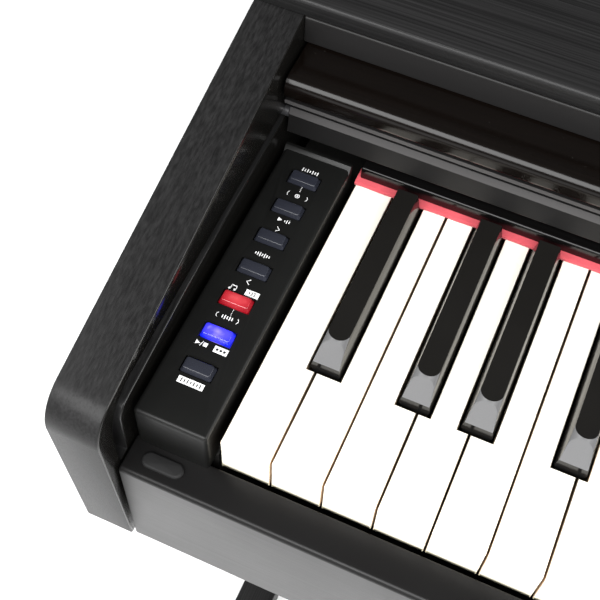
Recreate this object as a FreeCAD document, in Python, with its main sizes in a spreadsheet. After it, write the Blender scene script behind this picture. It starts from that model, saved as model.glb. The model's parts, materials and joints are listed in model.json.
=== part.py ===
"""Console digital piano on its stand, in millimetres.

Frame: +X to the player's right, +Y to the back, +Z up, origin on the floor under the middle
of the outline. Key positions are given from the keyboard line, where the white keys' top
surface meets their front edge.
"""
import FreeCAD, Part
import os
import re
import Sketcher
from FreeCAD import Vector

# ---------------------------------------------------------------- driving sizes

SIZES = [
    # overall
    ("depth", 400),              # front of the arms to the back
    ("key_height", 715),         # white key top above the floor
    # keyboard
    ("pitch", 23.5),             # one white key and its gap
    ("white_count", 52),
    ("key_gap", 0.9),
    ("key_length", 215),
    ("key_depth", 24),           # white key, top to underside
    ("key_wall", 2),
    ("key_skin", 3),
    ("key_heel", 25),            # solid end that sits on the pivot
    ("notch_air", 1),            # white notch to black key at the sides
    ("notch_front_air", 1.5),    # and in front, where a pressed black key swings forward
    ("sharp_start", 48.3),       # black key front from the keyboard line
    ("sharp_end", 146.6),        # rear end of the black cap
    ("sharp_base", 14),
    ("sharp_top", 10),
    ("sharp_rise", 12),
    ("sharp_band", 5),           # upright front of the cap
    ("sharp_slope", 11),         # run of the thumb facet
    ("sharp_stick", 12.6),
    ("sharp_c", -2.2),           # black key centres from the gap they straddle
    ("sharp_d", 2.4),
    ("sharp_f", -3.5),
    ("sharp_g", 0),
    ("sharp_a", 3.7),
    ("pivot_back", 205),         # key pivot from the keyboard line
    # arms and top
    ("arm_thick", 25),
    ("arm_toe", 22.7),           # arm bottom ahead of the keyboard line
    ("arm_reach", 28.7),         # arm nose ahead of the keyboard line
    ("arm_nose", 25.6),          # nose above the key tops
    ("arm_drop", 97.6),          # arm bottom below the key tops
    ("arm_slope", 0.229),
    ("arm_round", 19),
    ("top_thick", 10),
    ("top_rise", 71.5),          # underside of the top board above the key tops
    ("board", 12),               # thin panels
    # guide grooves for the sliding cover
    ("groove_deep", 8),
    ("groove_fall", 0.037),      # fall of the cover's path towards the player
    ("groove_roof", 24.8),       # roof of the groove at its front corner
    ("groove_front", 17),        # front wall ahead of the keyboard line
    ("groove_wide", 6.5),
    ("slot_run", 156),           # travel that the rear groove allows
    ("groove_bottom", 22),
    ("groove_ledge", 12.5),
    ("groove_back", 165),
    ("groove_bend", 20),
    ("ledge_bend", 8),
    # control panels beside the keys
    ("cheek_wide", 34),
    ("cheek_key_air", 3),
    ("cheek_arm_air", 2.5),
    ("cheek_front", 5.5),
    ("cheek_back", 151),
    ("cheek_rise", 9),
    ("cheek_step", 1.5),
    ("cheek_wall", 2.5),
    ("button_wide", 14.8),
    ("button_long", 7.6),
    ("button_air", 0.3),
    ("button_rise", 2.4),
    ("button_tall", 12),
    ("button_pitch", 18.45),
    ("button_first", 23),
    ("button_inset", 16.5),      # button centre from the panel's outer side
    ("flange_out", 1.4),
    ("flange_thick", 1.2),
    ("knob_radius", 7.5),
    ("knob_rise", 3),
    ("knob_place", 60),
    ("stem_radius", 3),
    ("stem_air", 0.05),
    # front rail, felt and name rail
    ("rail_top", 20),
    ("rail_front", 21.5),
    ("rail_thick", 18.2),
    ("rail_side_air", 1),
    ("rail_round", 2.5),
    ("pad_long", 19.5),
    ("pad_wide", 7.5),
    ("pad_high", 2),
    ("pad_side", 17),            # pad centre from the rail's end
    ("pad_front", 12.2),
    ("felt_front", 147.9),
    ("felt_deep", 14),
    ("felt_lift", 0.3),
    ("felt_thick", 2.7),
    ("name_front", 151),
    ("name_inset", 1.5),
    ("name_thick", 7.5),
    ("name_lip", 6),
    ("deck_thick", 3),
    ("deck_back", 250),
    # sliding cover
    ("cover_side_air", 2),
    ("cover_bottom", 44),
    ("cover_thick", 12),
    ("cover_nose", 147),
    ("nose_deep", 11),
    ("nose_thick", 13),
    ("cover_back", 350),
    ("lip_front", 151.5),
    ("lip_bottom", 17),
    ("lip_thick", 6),
    ("lip_facet", 4.5),
    ("strip_thick", 2.5),
    ("strip_front", 148),
    ("pin_radius", 2.6),
    ("pin_reach", 6),
    ("pin_roof_air", 0.3),
    ("fascia_front", 172.2),
    ("fascia_air", 0.4),
    # bed and key frame
    ("bed_thick", 15),
    ("bed_front_air", 1.3),
    ("frame_floor", 3),
    ("frame_front", 2),
    ("frame_back", 235),
    ("stop_top", 34.5),
    ("stop_front", 30),
    ("stop_back", 80),
    ("rib_air", 0.3),
    ("rib_thick", 10),
    # speakers, circuit board, sockets, screws
    ("speaker_side", 430),
    ("speaker_back", 295),
    ("speaker_radius", 46),
    ("speaker_rim", 52),
    ("magnet_radius", 24),
    ("speaker_deep", 38),
    ("grille_thick", 2),
    ("grille_hole", 3),
    ("grille_step", 10),
    ("circuit_long", 260),
    ("circuit_wide", 84),
    ("circuit_thick", 1.6),
    ("post_high", 7),
    ("jack_high", 26),
    ("jack_deep", 26),           # socket block, front to back
    ("jack_sunk", 2),            # its face inside the back panel
    ("inlet_radius", 2.9),
    ("phones_radius", 3.3),
    ("socket_deep", 20),
    ("jack_pitch", 24),
    ("screw_shank", 2),
    ("screw_air", 0.25),
    ("screw_head", 4.5),
    ("screw_head_high", 2.2),
    ("screw_in", 17),
    ("screw_pitch", 260),
    # music rest
    ("rest_long", 620),
    ("lug_long", 16),
    ("rest_deep", 150),
    ("rest_thick", 8),
    ("rest_lift", 1),
    ("ledge_front", 196),
    ("ledge_deep", 14),
    ("ledge_high", 12),
    ("hinge_air", 0.5),
    # stand
    ("leg_deep", 210),
    ("foot_long", 385),
    ("foot_wide", 34),
    ("foot_high", 36),
    ("foot_round", 14),
    ("glide_high", 4),
    ("glide_radius", 12),
    ("glide_inset", 40),
    ("brace_high", 380),         # stand back panel
    ("brace_back", 8),           # its rear face ahead of the legs' rear edge
    ("beam_high", 110),
    ("beam_low", 64),
    ("beam_thick", 18),
    ("beam_place", 60),
    # pedals
    ("unit_long", 230),
    ("unit_deep", 84),
    ("unit_high", 62),
    ("unit_wall", 3),
    ("pedal_pitch", 68),
    ("pedal_wide", 22),
    ("pedal_toe", 30),
    ("pedal_thick", 8),
    ("pedal_out", 78),
    ("pedal_toe_long", 46),
    ("pedal_level", 34),
    ("pedal_air", 2),
    ("pedal_dip", 16),
    ("axle_radius", 3),
    ("axle_air", 0.05),
    ("axle_in", 16),
    ("pedal_boss", 7),
]

# lengths worked out from the driving sizes
DERIVED = {
    "half_keys": "pitch*white_count/2",
    "cheek_inner": "half_keys+cheek_key_air",
    "cheek_outer": "cheek_inner+cheek_wide",
    "arm_inner": "cheek_outer+cheek_arm_air",
    "arm_outer": "arm_inner+arm_thick",
    "front_line": "arm_reach-0.5-depth/2",
    "back_face": "depth/2",
    "bed_under": "key_height-arm_drop",
    "bed_top": "bed_under+bed_thick",
    "frame_top": "bed_top+frame_floor",
    "top_under": "key_height+top_rise",
    "top_face": "top_under+top_thick",
    "slope_end": "front_line-arm_reach+(top_rise-arm_nose)/arm_slope",
    "rail_level": "key_height-rail_top",
    "rail_half": "arm_inner-rail_side_air",
    "cover_half": "arm_inner-cover_side_air",
    "panel_top": "key_height+cheek_rise",
    "lip_level": "key_height+lip_bottom",
    "strip_level": "key_height+cover_bottom-1.5-strip_thick",
    "pin_place": "front_line+lip_front+lip_thick/2",
    "pin_level": "key_height+groove_roof+groove_fall*(groove_front+lip_front+lip_thick/2)"
                 "-pin_roof_air-pin_radius",
    "rear_pin_place": "front_line+cover_back-pin_radius-3",
    "rear_pin_level": "key_height+cover_bottom+cover_thick/2",
    "pivot_level": "key_height-key_depth",
    "sharp_under": "key_depth-2",
    "leg_front": "back_face-leg_deep",
    "foot_top": "glide_high+foot_high",
    "beam_front": "leg_front+beam_place",
    "unit_front": "beam_front-unit_deep",
    "axle_place": "beam_front-axle_in",
    "axle_level": "glide_high+pedal_level",
    "ledge_place": "front_line+ledge_front",
    "hinge_place": "ledge_place+ledge_deep+hinge_air",
    "jack_low": "bed_top+14",
    "knob_y": "front_line+knob_place",
    "speaker_y": "front_line+speaker_back",
}

doc = FreeCAD.newDocument("DigitalPiano")
sheet = doc.addObject("Spreadsheet::Sheet", "Sizes")
for row, (alias, number) in enumerate(SIZES, start=1):
    sheet.set("A%d" % row, alias)
    sheet.set("B%d" % row, str(number))
    sheet.setAlias("B%d" % row, alias)
doc.recompute()
ALIASES = {alias for alias, number in SIZES}


def bound(text):
    """Turn a formula of plain names into one that points at the sheet's cells."""
    def swap(match):
        word = match.group(0)
        if word in DERIVED:
            return "(" + bound(DERIVED[word]) + ")"
        return "Sizes." + word if word in ALIASES else word
    return re.sub(r"[a-z_]+[a-z0-9_]*", swap, str(text))


def value(text):
    """The number that a formula gives with the sheet as it stands."""
    return float(sheet.evalExpression(bound(text)))


# ---------------------------------------------------------------- building helpers

def bind(thing, **formulas):
    for name, text in formulas.items():
        thing.setExpression(name, bound(text))
    return thing


def place(thing, x="0", y="0", z="0"):
    for axis, text in zip("xyz", (x, y, z)):
        thing.setExpression("Placement.Base." + axis, bound(text))
    return thing


def box(name, x, y, z, dx, dy, dz):
    block = bind(doc.addObject("Part::Box", name), Length=dx, Width=dy, Height=dz)
    return place(block, x, y, z)


def rod(name, x, y, z, radius, length, axis="z"):
    """A cylinder from the point given, along +X, +Y or +Z."""
    cylinder = bind(doc.addObject("Part::Cylinder", name), Radius=radius, Height=length)
    turn = {"x": (Vector(0, 1, 0), 90), "y": (Vector(1, 0, 0), -90), "z": (Vector(0, 0, 1), 0)}
    cylinder.Placement.Rotation = FreeCAD.Rotation(*turn[axis])
    return place(cylinder, x, y, z)


def fuse(name, pieces):
    joined = doc.addObject("Part::MultiFuse", name)
    joined.Shapes = pieces
    return joined


def cut(name, base, tools):
    tool = tools[0] if len(tools) == 1 else fuse(name + "_tools", tools)
    carved = doc.addObject("Part::Cut", name)
    carved.Base = base
    carved.Tool = tool
    return carved


def group(name, pieces):
    """Separate solids that share one node."""
    together = doc.addObject("Part::Compound", name)
    together.Links = pieces
    return together


def new_body(name):
    return doc.addObject("PartDesign::Body", name)


def outline(body, name, role, points, offset="0"):
    """A closed sketch whose corners are tied to the sheet."""
    plane = [f for f in body.Origin.OriginFeatures if f.Role == role][0]
    sketch = body.newObject("Sketcher::SketchObject", name)
    sketch.AttachmentSupport = (plane, [""])
    sketch.MapMode = "FlatFace"
    sketch.setExpression("AttachmentOffset.Base.z", bound(offset))
    corners = [Vector(value(a), value(b), 0) for a, b in points]
    count = len(points)
    for i in range(count):
        sketch.addGeometry(Part.LineSegment(corners[i], corners[(i + 1) % count]), False)
    for i in range(count):
        sketch.addConstraint(Sketcher.Constraint("Coincident", i, 2, (i + 1) % count, 1))
    for i, pair in enumerate(points):
        for kind, text in zip(("DistanceX", "DistanceY"), pair):
            index = sketch.addConstraint(Sketcher.Constraint(kind, -1, 1, i, 1, value(text)))
            label = "%s_%d" % (kind, i)
            sketch.renameConstraint(index, label)
            sketch.setExpression("Constraints." + label, bound(text))
    return sketch


def feature(body, kind, name, sketch, reverse=False, **formulas):
    made = body.newObject("PartDesign::" + kind, name)
    made.Profile = sketch
    made.Reversed = reverse
    return bind(made, **formulas)


def rounded(body, name, radius, near, along):
    """Round the edges that run along one axis through the places given in the other two."""
    doc.recompute()
    base = body.Tip
    others = [axis for axis in range(3) if axis != along]
    names = []
    for number, edge in enumerate(base.Shape.Edges, start=1):
        start = edge.Vertexes[0].Point
        if abs(edge.Vertexes[-1].Point[along] - start[along]) < 0.9 * edge.Length:
            continue
        for a, b in near:
            if max(abs(start[others[0]] - value(a)), abs(start[others[1]] - value(b))) < 0.02:
                names.append("Edge%d" % number)
    fillet = body.newObject("PartDesign::Fillet", name)
    fillet.Base = (base, names)
    return bind(fillet, Radius=radius)


# ---------------------------------------------------------------- keys

SHARP_OF = {"c": "sharp_c", "d": "sharp_d", "f": "sharp_f", "g": "sharp_g", "a": "sharp_a"}
BEFORE = {"c": None, "d": "c", "e": "d", "f": None, "g": "f", "a": "g", "b": "a"}
SCALE = "cdefgab"


def white_key(name, note, first=False, last=False):
    """One hollow white key: notched beside its black neighbours, solid at the heel."""
    body = new_body(name)
    left, right = "key_gap/2", "pitch-key_gap/2"
    left_sharp = None if first else BEFORE[note]
    right_sharp = None if last or note not in SHARP_OF else note
    tail_left, tail_right = left, right
    if left_sharp:
        tail_left = "%s+sharp_base/2+notch_air" % SHARP_OF[left_sharp]
    if right_sharp:
        tail_right = "pitch+%s-sharp_base/2-notch_air" % SHARP_OF[right_sharp]
    notch = "sharp_start-notch_front_air"
    points = [(left, "0"), (right, "0")]
    if right_sharp:
        points += [(right, notch), (tail_right, notch)]
    points += [(tail_right, "key_length"), (tail_left, "key_length")]
    if left_sharp:
        points += [(tail_left, notch), (left, notch)]
    plan = outline(body, name + "_plan", "XY_Plane", points)
    feature(body, "Pad", name + "_block", plan, reverse=True, Length="key_depth")
    hollows = [
        ("_bay", left, right, "key_wall", notch + "-key_wall"),
        ("_trough", tail_left, tail_right, notch, "key_length-key_heel"),
    ]
    for suffix, low, high, near, far in hollows:
        inner = (low + "+key_wall", high + "-key_wall")
        ring = [(inner[0], near), (inner[1], near), (inner[1], far), (inner[0], far)]
        under = outline(body, name + suffix + "_plan", "XY_Plane", ring, "-key_depth")
        feature(body, "Pocket", name + suffix, under, reverse=True, Length="key_depth-key_skin")
    rounded(body, name + "_lip", "key_gap", [("0", "0")], 0)
    return body


def black_key(name, sharp):
    """One black key: a stick with a tapered cap whose front slopes back to the top."""
    body = new_body(name)
    half = "sharp_stick/2"
    centre = "pitch+" + SHARP_OF[sharp]

    def ring(low, high, side):
        left, right = "%s-(%s)" % (centre, side), "%s+(%s)" % (centre, side)
        return [(left, low), (right, low), (right, high), (left, high)]

    stick = outline(body, name + "_plan", "XY_Plane", ring("sharp_start+0.5", "key_length", half))
    feature(body, "Pad", name + "_stick", stick, reverse=True, Length="sharp_under")
    base = ring("sharp_start", "sharp_end", "sharp_base/2")
    skirt = outline(body, name + "_base", "XY_Plane", base)
    feature(body, "Pad", name + "_skirt", skirt, Length="sharp_band/5")
    low = outline(body, name + "_low", "XY_Plane", base, "sharp_band/5")
    shoulder = ring("sharp_start+0.5", "sharp_end-0.2", "sharp_base/2-0.8")
    middle = outline(body, name + "_middle", "XY_Plane", shoulder, "sharp_band")
    crown = ring("sharp_start+sharp_slope", "sharp_end-0.5", "sharp_top/2")
    high = outline(body, name + "_high", "XY_Plane", crown, "sharp_rise")
    for suffix, start, end in (("_band", low, middle), ("_cap", middle, high)):
        loft = body.newObject("PartDesign::AdditiveLoft", name + suffix)
        loft.Profile = start
        loft.Sections = [end]
        loft.Ruled = True
    return body


def at_key(body, index):
    return place(body, "%d*pitch-half_keys" % index, "front_line", "key_height")


def keyboard():
    """The lowest keys each on their own, the rest as two groups of white and black keys."""
    nodes = []
    notes = [SCALE[(index + 5) % 7] for index in range(int(value("white_count")))]
    octaves = [(index + 5) // 7 for index in range(len(notes))]
    single_whites = 7
    single_blacks = 4
    blacks = [i for i, note in enumerate(notes[:-1]) if note in SHARP_OF]
    for index in range(single_whites):
        name = "white_key_%s%d" % (notes[index], octaves[index])
        nodes.append(at_key(white_key(name, notes[index], first=index == 0), index))
    for index in blacks[:single_blacks]:
        name = "black_key_%s_sharp%d" % (notes[index], octaves[index])
        nodes.append(at_key(black_key(name, notes[index]), index))
    white_forms = {note: white_key("form_white_" + note, note) for note in SCALE}
    white_forms["last"] = white_key("form_white_last", notes[-1], last=True)
    black_forms = {note: black_key("form_black_" + note, note) for note in SHARP_OF}
    doc.recompute()
    middle_whites, middle_blacks = 29, 20
    groups = [
        ("white_keys_middle", list(range(single_whites, middle_whites)), white_forms),
        ("white_keys_treble", list(range(middle_whites, len(notes))), white_forms),
        ("black_keys_middle", blacks[single_blacks:middle_blacks], black_forms),
        ("black_keys_treble", blacks[middle_blacks:], black_forms),
    ]
    for name, indexes, forms in groups:
        solids = []
        for index in indexes:
            form = "last" if forms is white_forms and index == len(notes) - 1 else notes[index]
            solid = forms[form].Shape.Solids[0].copy()
            shift = Vector(index * value("pitch") - value("half_keys"), value("front_line"),
                           value("key_height"))
            solid.translate(shift)
            solids.append(solid)
        node = doc.addObject("Part::Feature", name)
        node.Shape = Part.makeCompound(solids)
        nodes.append(node)
    return nodes


# ---------------------------------------------------------------- cabinet

# how the groove's floor climbs over its front ledge, from the keyboard line backwards
GROOVE_FLOOR = [("0", "1.5"), ("50", "7.5"), ("100", "10.5"), ("groove_back", "12")]


def arm(name, side):
    """An arm board with the grooves that guide the cover in its inner face."""
    body = new_body(name)
    back, low = "back_face", "bed_under"
    nose = ("front_line-arm_reach", "key_height+arm_nose")
    profile = outline(body, name + "_profile", "YZ_Plane", [
        ("front_line-arm_toe", low), (back, low), (back, "top_under"),
        ("slope_end", "top_under"), nose])
    feature(body, "Pad", name + "_board", profile, Length="arm_thick")
    rounded(body, name + "_nose", "arm_round", [nose], 0)
    face = "arm_thick" if side < 0 else "0"

    def roof(y):
        return "key_height+groove_roof+groove_fall*(groove_front+%s)" % y

    outer = ("front_line-groove_front", "key_height+groove_roof")
    inner = ("front_line-groove_front+groove_wide", "key_height+groove_ledge")
    channel = outline(body, name + "_channel", "YZ_Plane", [
        ("front_line+groove_back", roof("groove_back")), outer,
        ("front_line-groove_front", "key_height-groove_bottom"),
        ("front_line-groove_front+groove_wide", "key_height-groove_bottom"), inner]
        + [("front_line+" + y, "key_height+groove_ledge+" + rise)
           for y, rise in GROOVE_FLOOR], face)
    feature(body, "Pocket", name + "_front_groove", channel, reverse=side > 0,
            Length="groove_deep")
    half = "(pin_radius+pin_roof_air)"
    start = "rear_pin_place+pin_radius+2"
    end = "rear_pin_place-slot_run"
    fall = "groove_fall*(slot_run+pin_radius*2+2)"
    slot = outline(body, name + "_slot", "YZ_Plane", [
        (start, "rear_pin_level+%s+0.2" % half), (start, "rear_pin_level-%s" % half),
        (end, "rear_pin_level-%s-%s" % (half, fall)),
        (end, "rear_pin_level+%s+0.2-%s" % (half, fall))], face)
    feature(body, "Pocket", name + "_rear_groove", slot, reverse=side > 0,
            Length="groove_deep")
    rounded(body, name + "_groove_outer", "groove_bend", [outer], 0)
    rounded(body, name + "_groove_inner", "ledge_bend", [inner], 0)
    return place(body, "-arm_outer" if side < 0 else "arm_inner")


def cabinet():
    nodes = [arm("left_arm_board", -1), arm("right_arm_board", 1)]
    span = "2*arm_inner"
    bed_front = "front_line-rail_front+rail_thick+bed_front_air"
    bed = box("bed_blank", "-arm_inner", bed_front, "bed_under", span,
              "back_face-board-(%s)" % bed_front, "bed_thick")
    mouths = [rod("bed_mouth_%d" % n, "%d*speaker_side" % n, "speaker_y", "bed_under-1",
                  "speaker_radius", "bed_thick+2") for n in (-1, 1)]
    holes = [rod("bed_hole_%d" % n, x, y, "bed_under-1", "screw_shank+screw_air",
                 "bed_thick+2") for n, (x, y) in enumerate(screw_places())]
    nodes.append(cut("key_bed", bed, mouths + holes))

    rail = new_body("front_rail")
    top = ("front_line-rail_front", "rail_level")
    section = outline(rail, "rail_section", "YZ_Plane", [
        ("front_line-rail_front", "bed_under"), ("front_line-rail_front+rail_thick", "bed_under"),
        ("front_line-rail_front+rail_thick", "rail_level"), top])
    feature(rail, "Pad", "rail_bar", section, Length="2*rail_half")
    rounded(rail, "rail_edge", "rail_round", [top], 0)
    nodes.append(place(rail, "-rail_half"))

    nodes.append(box("top_board", "-arm_outer", "slope_end", "top_under", "2*arm_outer",
                     "back_face-(slope_end)", "top_thick"))
    nodes.append(box("fascia_board", "-arm_inner", "front_line+fascia_front",
                     "key_height+cover_bottom+cover_thick+fascia_air", span, "board",
                     "top_rise-cover_bottom-cover_thick-fascia_air"))
    back = box("back_blank", "-arm_inner", "back_face-board", "bed_under", span, "board",
               "top_under-bed_under")
    window = box("back_window", "-1.5*jack_pitch", "back_face-board-1", "jack_low",
                 "3*jack_pitch", "board+2", "jack_high")
    nodes.append(cut("console_back_panel", back, [window]))
    return nodes


def screw_places():
    """Screw centres under the bed: two rows that hold the key frame."""
    places = []
    for column in (-2, -1, 0, 1, 2):
        for y in ("front_line+stop_front-12", "front_line+frame_back-12"):
            places.append(("%d*screw_pitch" % column, y))
    return places


def screws():
    pieces = []
    for n, (x, y) in enumerate(screw_places()):
        head = rod("screw_head_%d" % n, x, y, "bed_under-screw_head_high", "screw_head",
                   "screw_head_high")
        shank = rod("screw_shank_%d" % n, x, y, "bed_under", "screw_shank", "screw_in")
        pieces.append(fuse("screw_%d" % n, [head, shank]))
    return group("bed_screws", pieces)


def key_frame():
    """The pan that carries the keys: end blocks, a stop bar in front and a pivot rib behind."""
    low, floor = "bed_top", "frame_top"
    rib_front = "front_line+pivot_back-rib_thick/2"
    body = new_body("key_frame_pan")
    section = outline(body, "frame_section", "YZ_Plane", [
        ("front_line+frame_front", low), ("front_line+frame_back", low),
        ("front_line+frame_back", floor), (rib_front + "+rib_thick", floor),
        (rib_front + "+rib_thick", "pivot_level-rib_air"), (rib_front, "pivot_level-rib_air"),
        (rib_front, floor), ("front_line+stop_back", floor),
        ("front_line+stop_back", "key_height-stop_top"),
        ("front_line+stop_front", "key_height-stop_top"), ("front_line+stop_front", floor),
        ("front_line+frame_front", floor)])
    feature(body, "Pad", "frame_bar", section, Length="2*cheek_outer")
    place(body, "-cheek_outer")
    ends = [box("frame_end_%d" % side, "-cheek_outer" if side < 0 else "cheek_inner-1",
                "front_line+frame_front", low, "cheek_wide+1", "frame_back-frame_front",
                "rail_level-bed_top") for side in (-1, 1)]
    pan = fuse("key_frame_blank", [body] + ends)
    holes = [rod("frame_hole_%d" % n, x, y, "bed_top-1", "screw_shank+screw_air",
                 "frame_floor+2") for n, (x, y) in enumerate(screw_places())]
    return cut("key_frame", pan, holes)


def rails():
    """Rubber pads, felt strip and the glossy name rail with the deck behind it."""
    pads = []
    for side in (-1, 1):
        x = "%d*(rail_half-pad_side)" % side
        y = "front_line-pad_front"
        half = "(pad_long-pad_wide)/2"
        middle = box("pad_bar_%d" % side, x + "-" + half, y + "-pad_wide/2", "rail_level",
                     "pad_long-pad_wide", "pad_wide", "pad_high")
        ends = [rod("pad_end_%d_%d" % (side, n), "%s%+d*%s" % (x, n, half), y, "rail_level",
                    "pad_wide/2", "pad_high") for n in (-1, 1)]
        pads.append(fuse("pad_%d" % side, [middle] + ends))
    felt = box("key_felt", "-half_keys", "front_line+felt_front", "key_height+felt_lift",
               "2*half_keys", "felt_deep", "felt_thick")
    rail = new_body("name_rail")
    under = "key_height+felt_lift+felt_thick"
    front = ("front_line+name_front", under + "+name_thick")
    section = outline(rail, "name_section", "YZ_Plane", [
        ("front_line+name_front", under), ("front_line+name_front+name_lip", under),
        ("front_line+name_front+name_lip", under + "+name_thick-deck_thick"),
        ("front_line+deck_back", under + "+name_thick-deck_thick"),
        ("front_line+deck_back", under + "+name_thick"), front])
    feature(rail, "Pad", "name_bar", section, Length="2*(half_keys-name_inset)")
    rounded(rail, "name_edge", "1.5", [front], 0)
    place(rail, "-(half_keys-name_inset)")
    return [group("rail_bumpers", pads), felt, rail]


# ---------------------------------------------------------------- control panels

BUTTONS = ["function", "chord", "reverb", "previous", "next", "record", "metronome"]


def cheek(name, side, openings):
    """A hollow control panel beside the keys with a raised step at the back."""
    body = new_body(name + "_shell")
    nose = ("front_line-cheek_front", "panel_top")
    section = outline(body, name + "_section", "YZ_Plane", [
        ("front_line-cheek_front", "rail_level"), ("front_line+cheek_back", "rail_level"),
        ("front_line+cheek_back", "panel_top+cheek_step"),
        ("front_line+cheek_back-cheek_step", "panel_top+cheek_step"),
        ("front_line+cheek_back-2*cheek_step", "panel_top"), nose])
    feature(body, "Pad", name + "_block", section, Length="cheek_wide")
    rounded(body, name + "_nose", "cheek_wall*0.8", [nose], 0)
    rounded(body, name + "_sides", "cheek_wall*0.8", [("0", "panel_top"),
                                                       ("cheek_wide", "panel_top")], 1)
    x = "-cheek_outer" if side < 0 else "cheek_inner"
    place(body, x)
    cavity = box(name + "_cavity", x + "+cheek_wall", "front_line-cheek_front+cheek_wall",
                 "rail_level-1", "cheek_wide-2*cheek_wall",
                 "cheek_front+cheek_back-2*cheek_wall-cheek_step",
                 "cheek_rise+rail_top-cheek_wall+1")
    return cut(name, body, [cavity] + openings)


def button(name, x, y):
    """A push button with a retaining flange under the panel."""
    half_x, half_y = "button_wide/2", "button_long/2"
    top = "panel_top+button_rise"
    body = new_body(name)
    ring = [("-" + half_x, "-" + half_y), (half_x, "-" + half_y), (half_x, half_y),
            ("-" + half_x, half_y)]
    plan = outline(body, name + "_plan", "XY_Plane", ring)
    feature(body, "Pad", name + "_cap", plan, reverse=True, Length="button_tall")
    out = "+flange_out)"
    wide = [("-(" + half_x + out, "-(" + half_y + out), ("(" + half_x + out, "-(" + half_y + out),
            ("(" + half_x + out, "(" + half_y + out), ("-(" + half_x + out, "(" + half_y + out)]
    flange = outline(body, name + "_flange_plan", "XY_Plane", wide,
                     "-(button_rise+cheek_wall+button_air)")
    feature(body, "Pad", name + "_flange", flange, reverse=True, Length="flange_thick")
    rounded(body, name + "_bevel", "1.2", [("-" + half_y, "0")], 0)
    return place(body, x, y, top)


def button_hole(name, x, y):
    return box(name + "_hole", "%s-button_wide/2-button_air" % x,
               "%s-button_long/2-button_air" % y, "panel_top-cheek_wall-1",
               "button_wide+2*button_air", "button_long+2*button_air", "cheek_wall+2")


def controls():
    nodes = []
    left = "-cheek_outer+button_inset"
    left_holes = []
    for order, word in enumerate(BUTTONS):
        y = "front_line+button_first+%d*button_pitch" % order
        name = word + "_button"
        nodes.append(button(name, left, y))
        left_holes.append(button_hole(name, left, y))
    right = "cheek_outer-button_inset"
    power_y = "front_line+button_first"
    nodes.append(button("power_button", right, power_y))
    knob_hole = rod("knob_hole", right, "knob_y", "panel_top-cheek_wall-1",
                    "stem_radius+stem_air", "cheek_wall+2")
    nodes.append(cheek("left_control_panel", -1, left_holes))
    nodes.append(cheek("right_control_panel", 1,
                       [button_hole("power_button", right, power_y), knob_hole]))
    cap = rod("knob_cap", right, "knob_y", "panel_top+0.4", "knob_radius", "knob_rise")
    stem = rod("knob_stem", right, "knob_y", "panel_top-cheek_wall-5", "stem_radius",
               "cheek_wall+6")
    mark = box("knob_mark", right + "-0.6", "knob_y+knob_radius*0.4", "panel_top+knob_rise",
               "1.2", "knob_radius*0.5", "1")
    nodes.append(cut("volume_knob", fuse("knob_blank", [cap, stem]), [mark]))
    return nodes


# ---------------------------------------------------------------- sliding cover

def cover():
    """Board, rounded nose, hanging lip and guide pins: one rigid sliding cover."""
    wide = "2*cover_half"
    nose_back = "front_line+cover_nose+nose_deep"
    top = "key_height+cover_bottom+cover_thick"
    board = box("cover_board", "-cover_half", nose_back, "key_height+cover_bottom", wide,
                "cover_back-cover_nose-nose_deep", "cover_thick")
    nose = new_body("cover_nose_bar")
    crest = ("front_line+cover_nose", top)
    chin = ("front_line+cover_nose", top + "-nose_thick")
    section = outline(nose, "nose_section", "YZ_Plane", [
        chin, (nose_back, chin[1]), (nose_back, top), crest])
    feature(nose, "Pad", "nose_block", section, Length=wide)
    rounded(nose, "nose_round", "nose_thick*0.42", [crest, chin], 0)
    place(nose, "-cover_half")

    lip = new_body("cover_lip")
    strip = "strip_level"
    back = "front_line+lip_front+lip_thick"
    under_nose = top + "-nose_thick"
    section = outline(lip, "lip_section", "YZ_Plane", [
        ("front_line+lip_front", "lip_level"), (back, "lip_level"), (back, under_nose),
        ("front_line+strip_front", under_nose), ("front_line+strip_front", strip),
        ("front_line+lip_front+2", strip), ("front_line+lip_front+2+2", strip + "-3"),
        ("front_line+lip_front+4", "lip_level+11+lip_facet"),
        ("front_line+lip_front+2", "lip_level+11")])
    feature(lip, "Pad", "lip_bar", section, Length=wide)
    place(lip, "-cover_half")

    pins = []
    for side in (-1, 1):
        x = "-cover_half-pin_reach" if side < 0 else "cover_half"
        pins.append(rod("front_pin_%d" % side, x, "pin_place", "pin_level", "pin_radius",
                        "pin_reach", "x"))
        pins.append(rod("rear_pin_%d" % side, x, "rear_pin_place", "rear_pin_level",
                        "pin_radius", "pin_reach", "x"))
    return [board, nose, lip, group("cover_pins", pins)]


# ---------------------------------------------------------------- music rest

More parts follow.
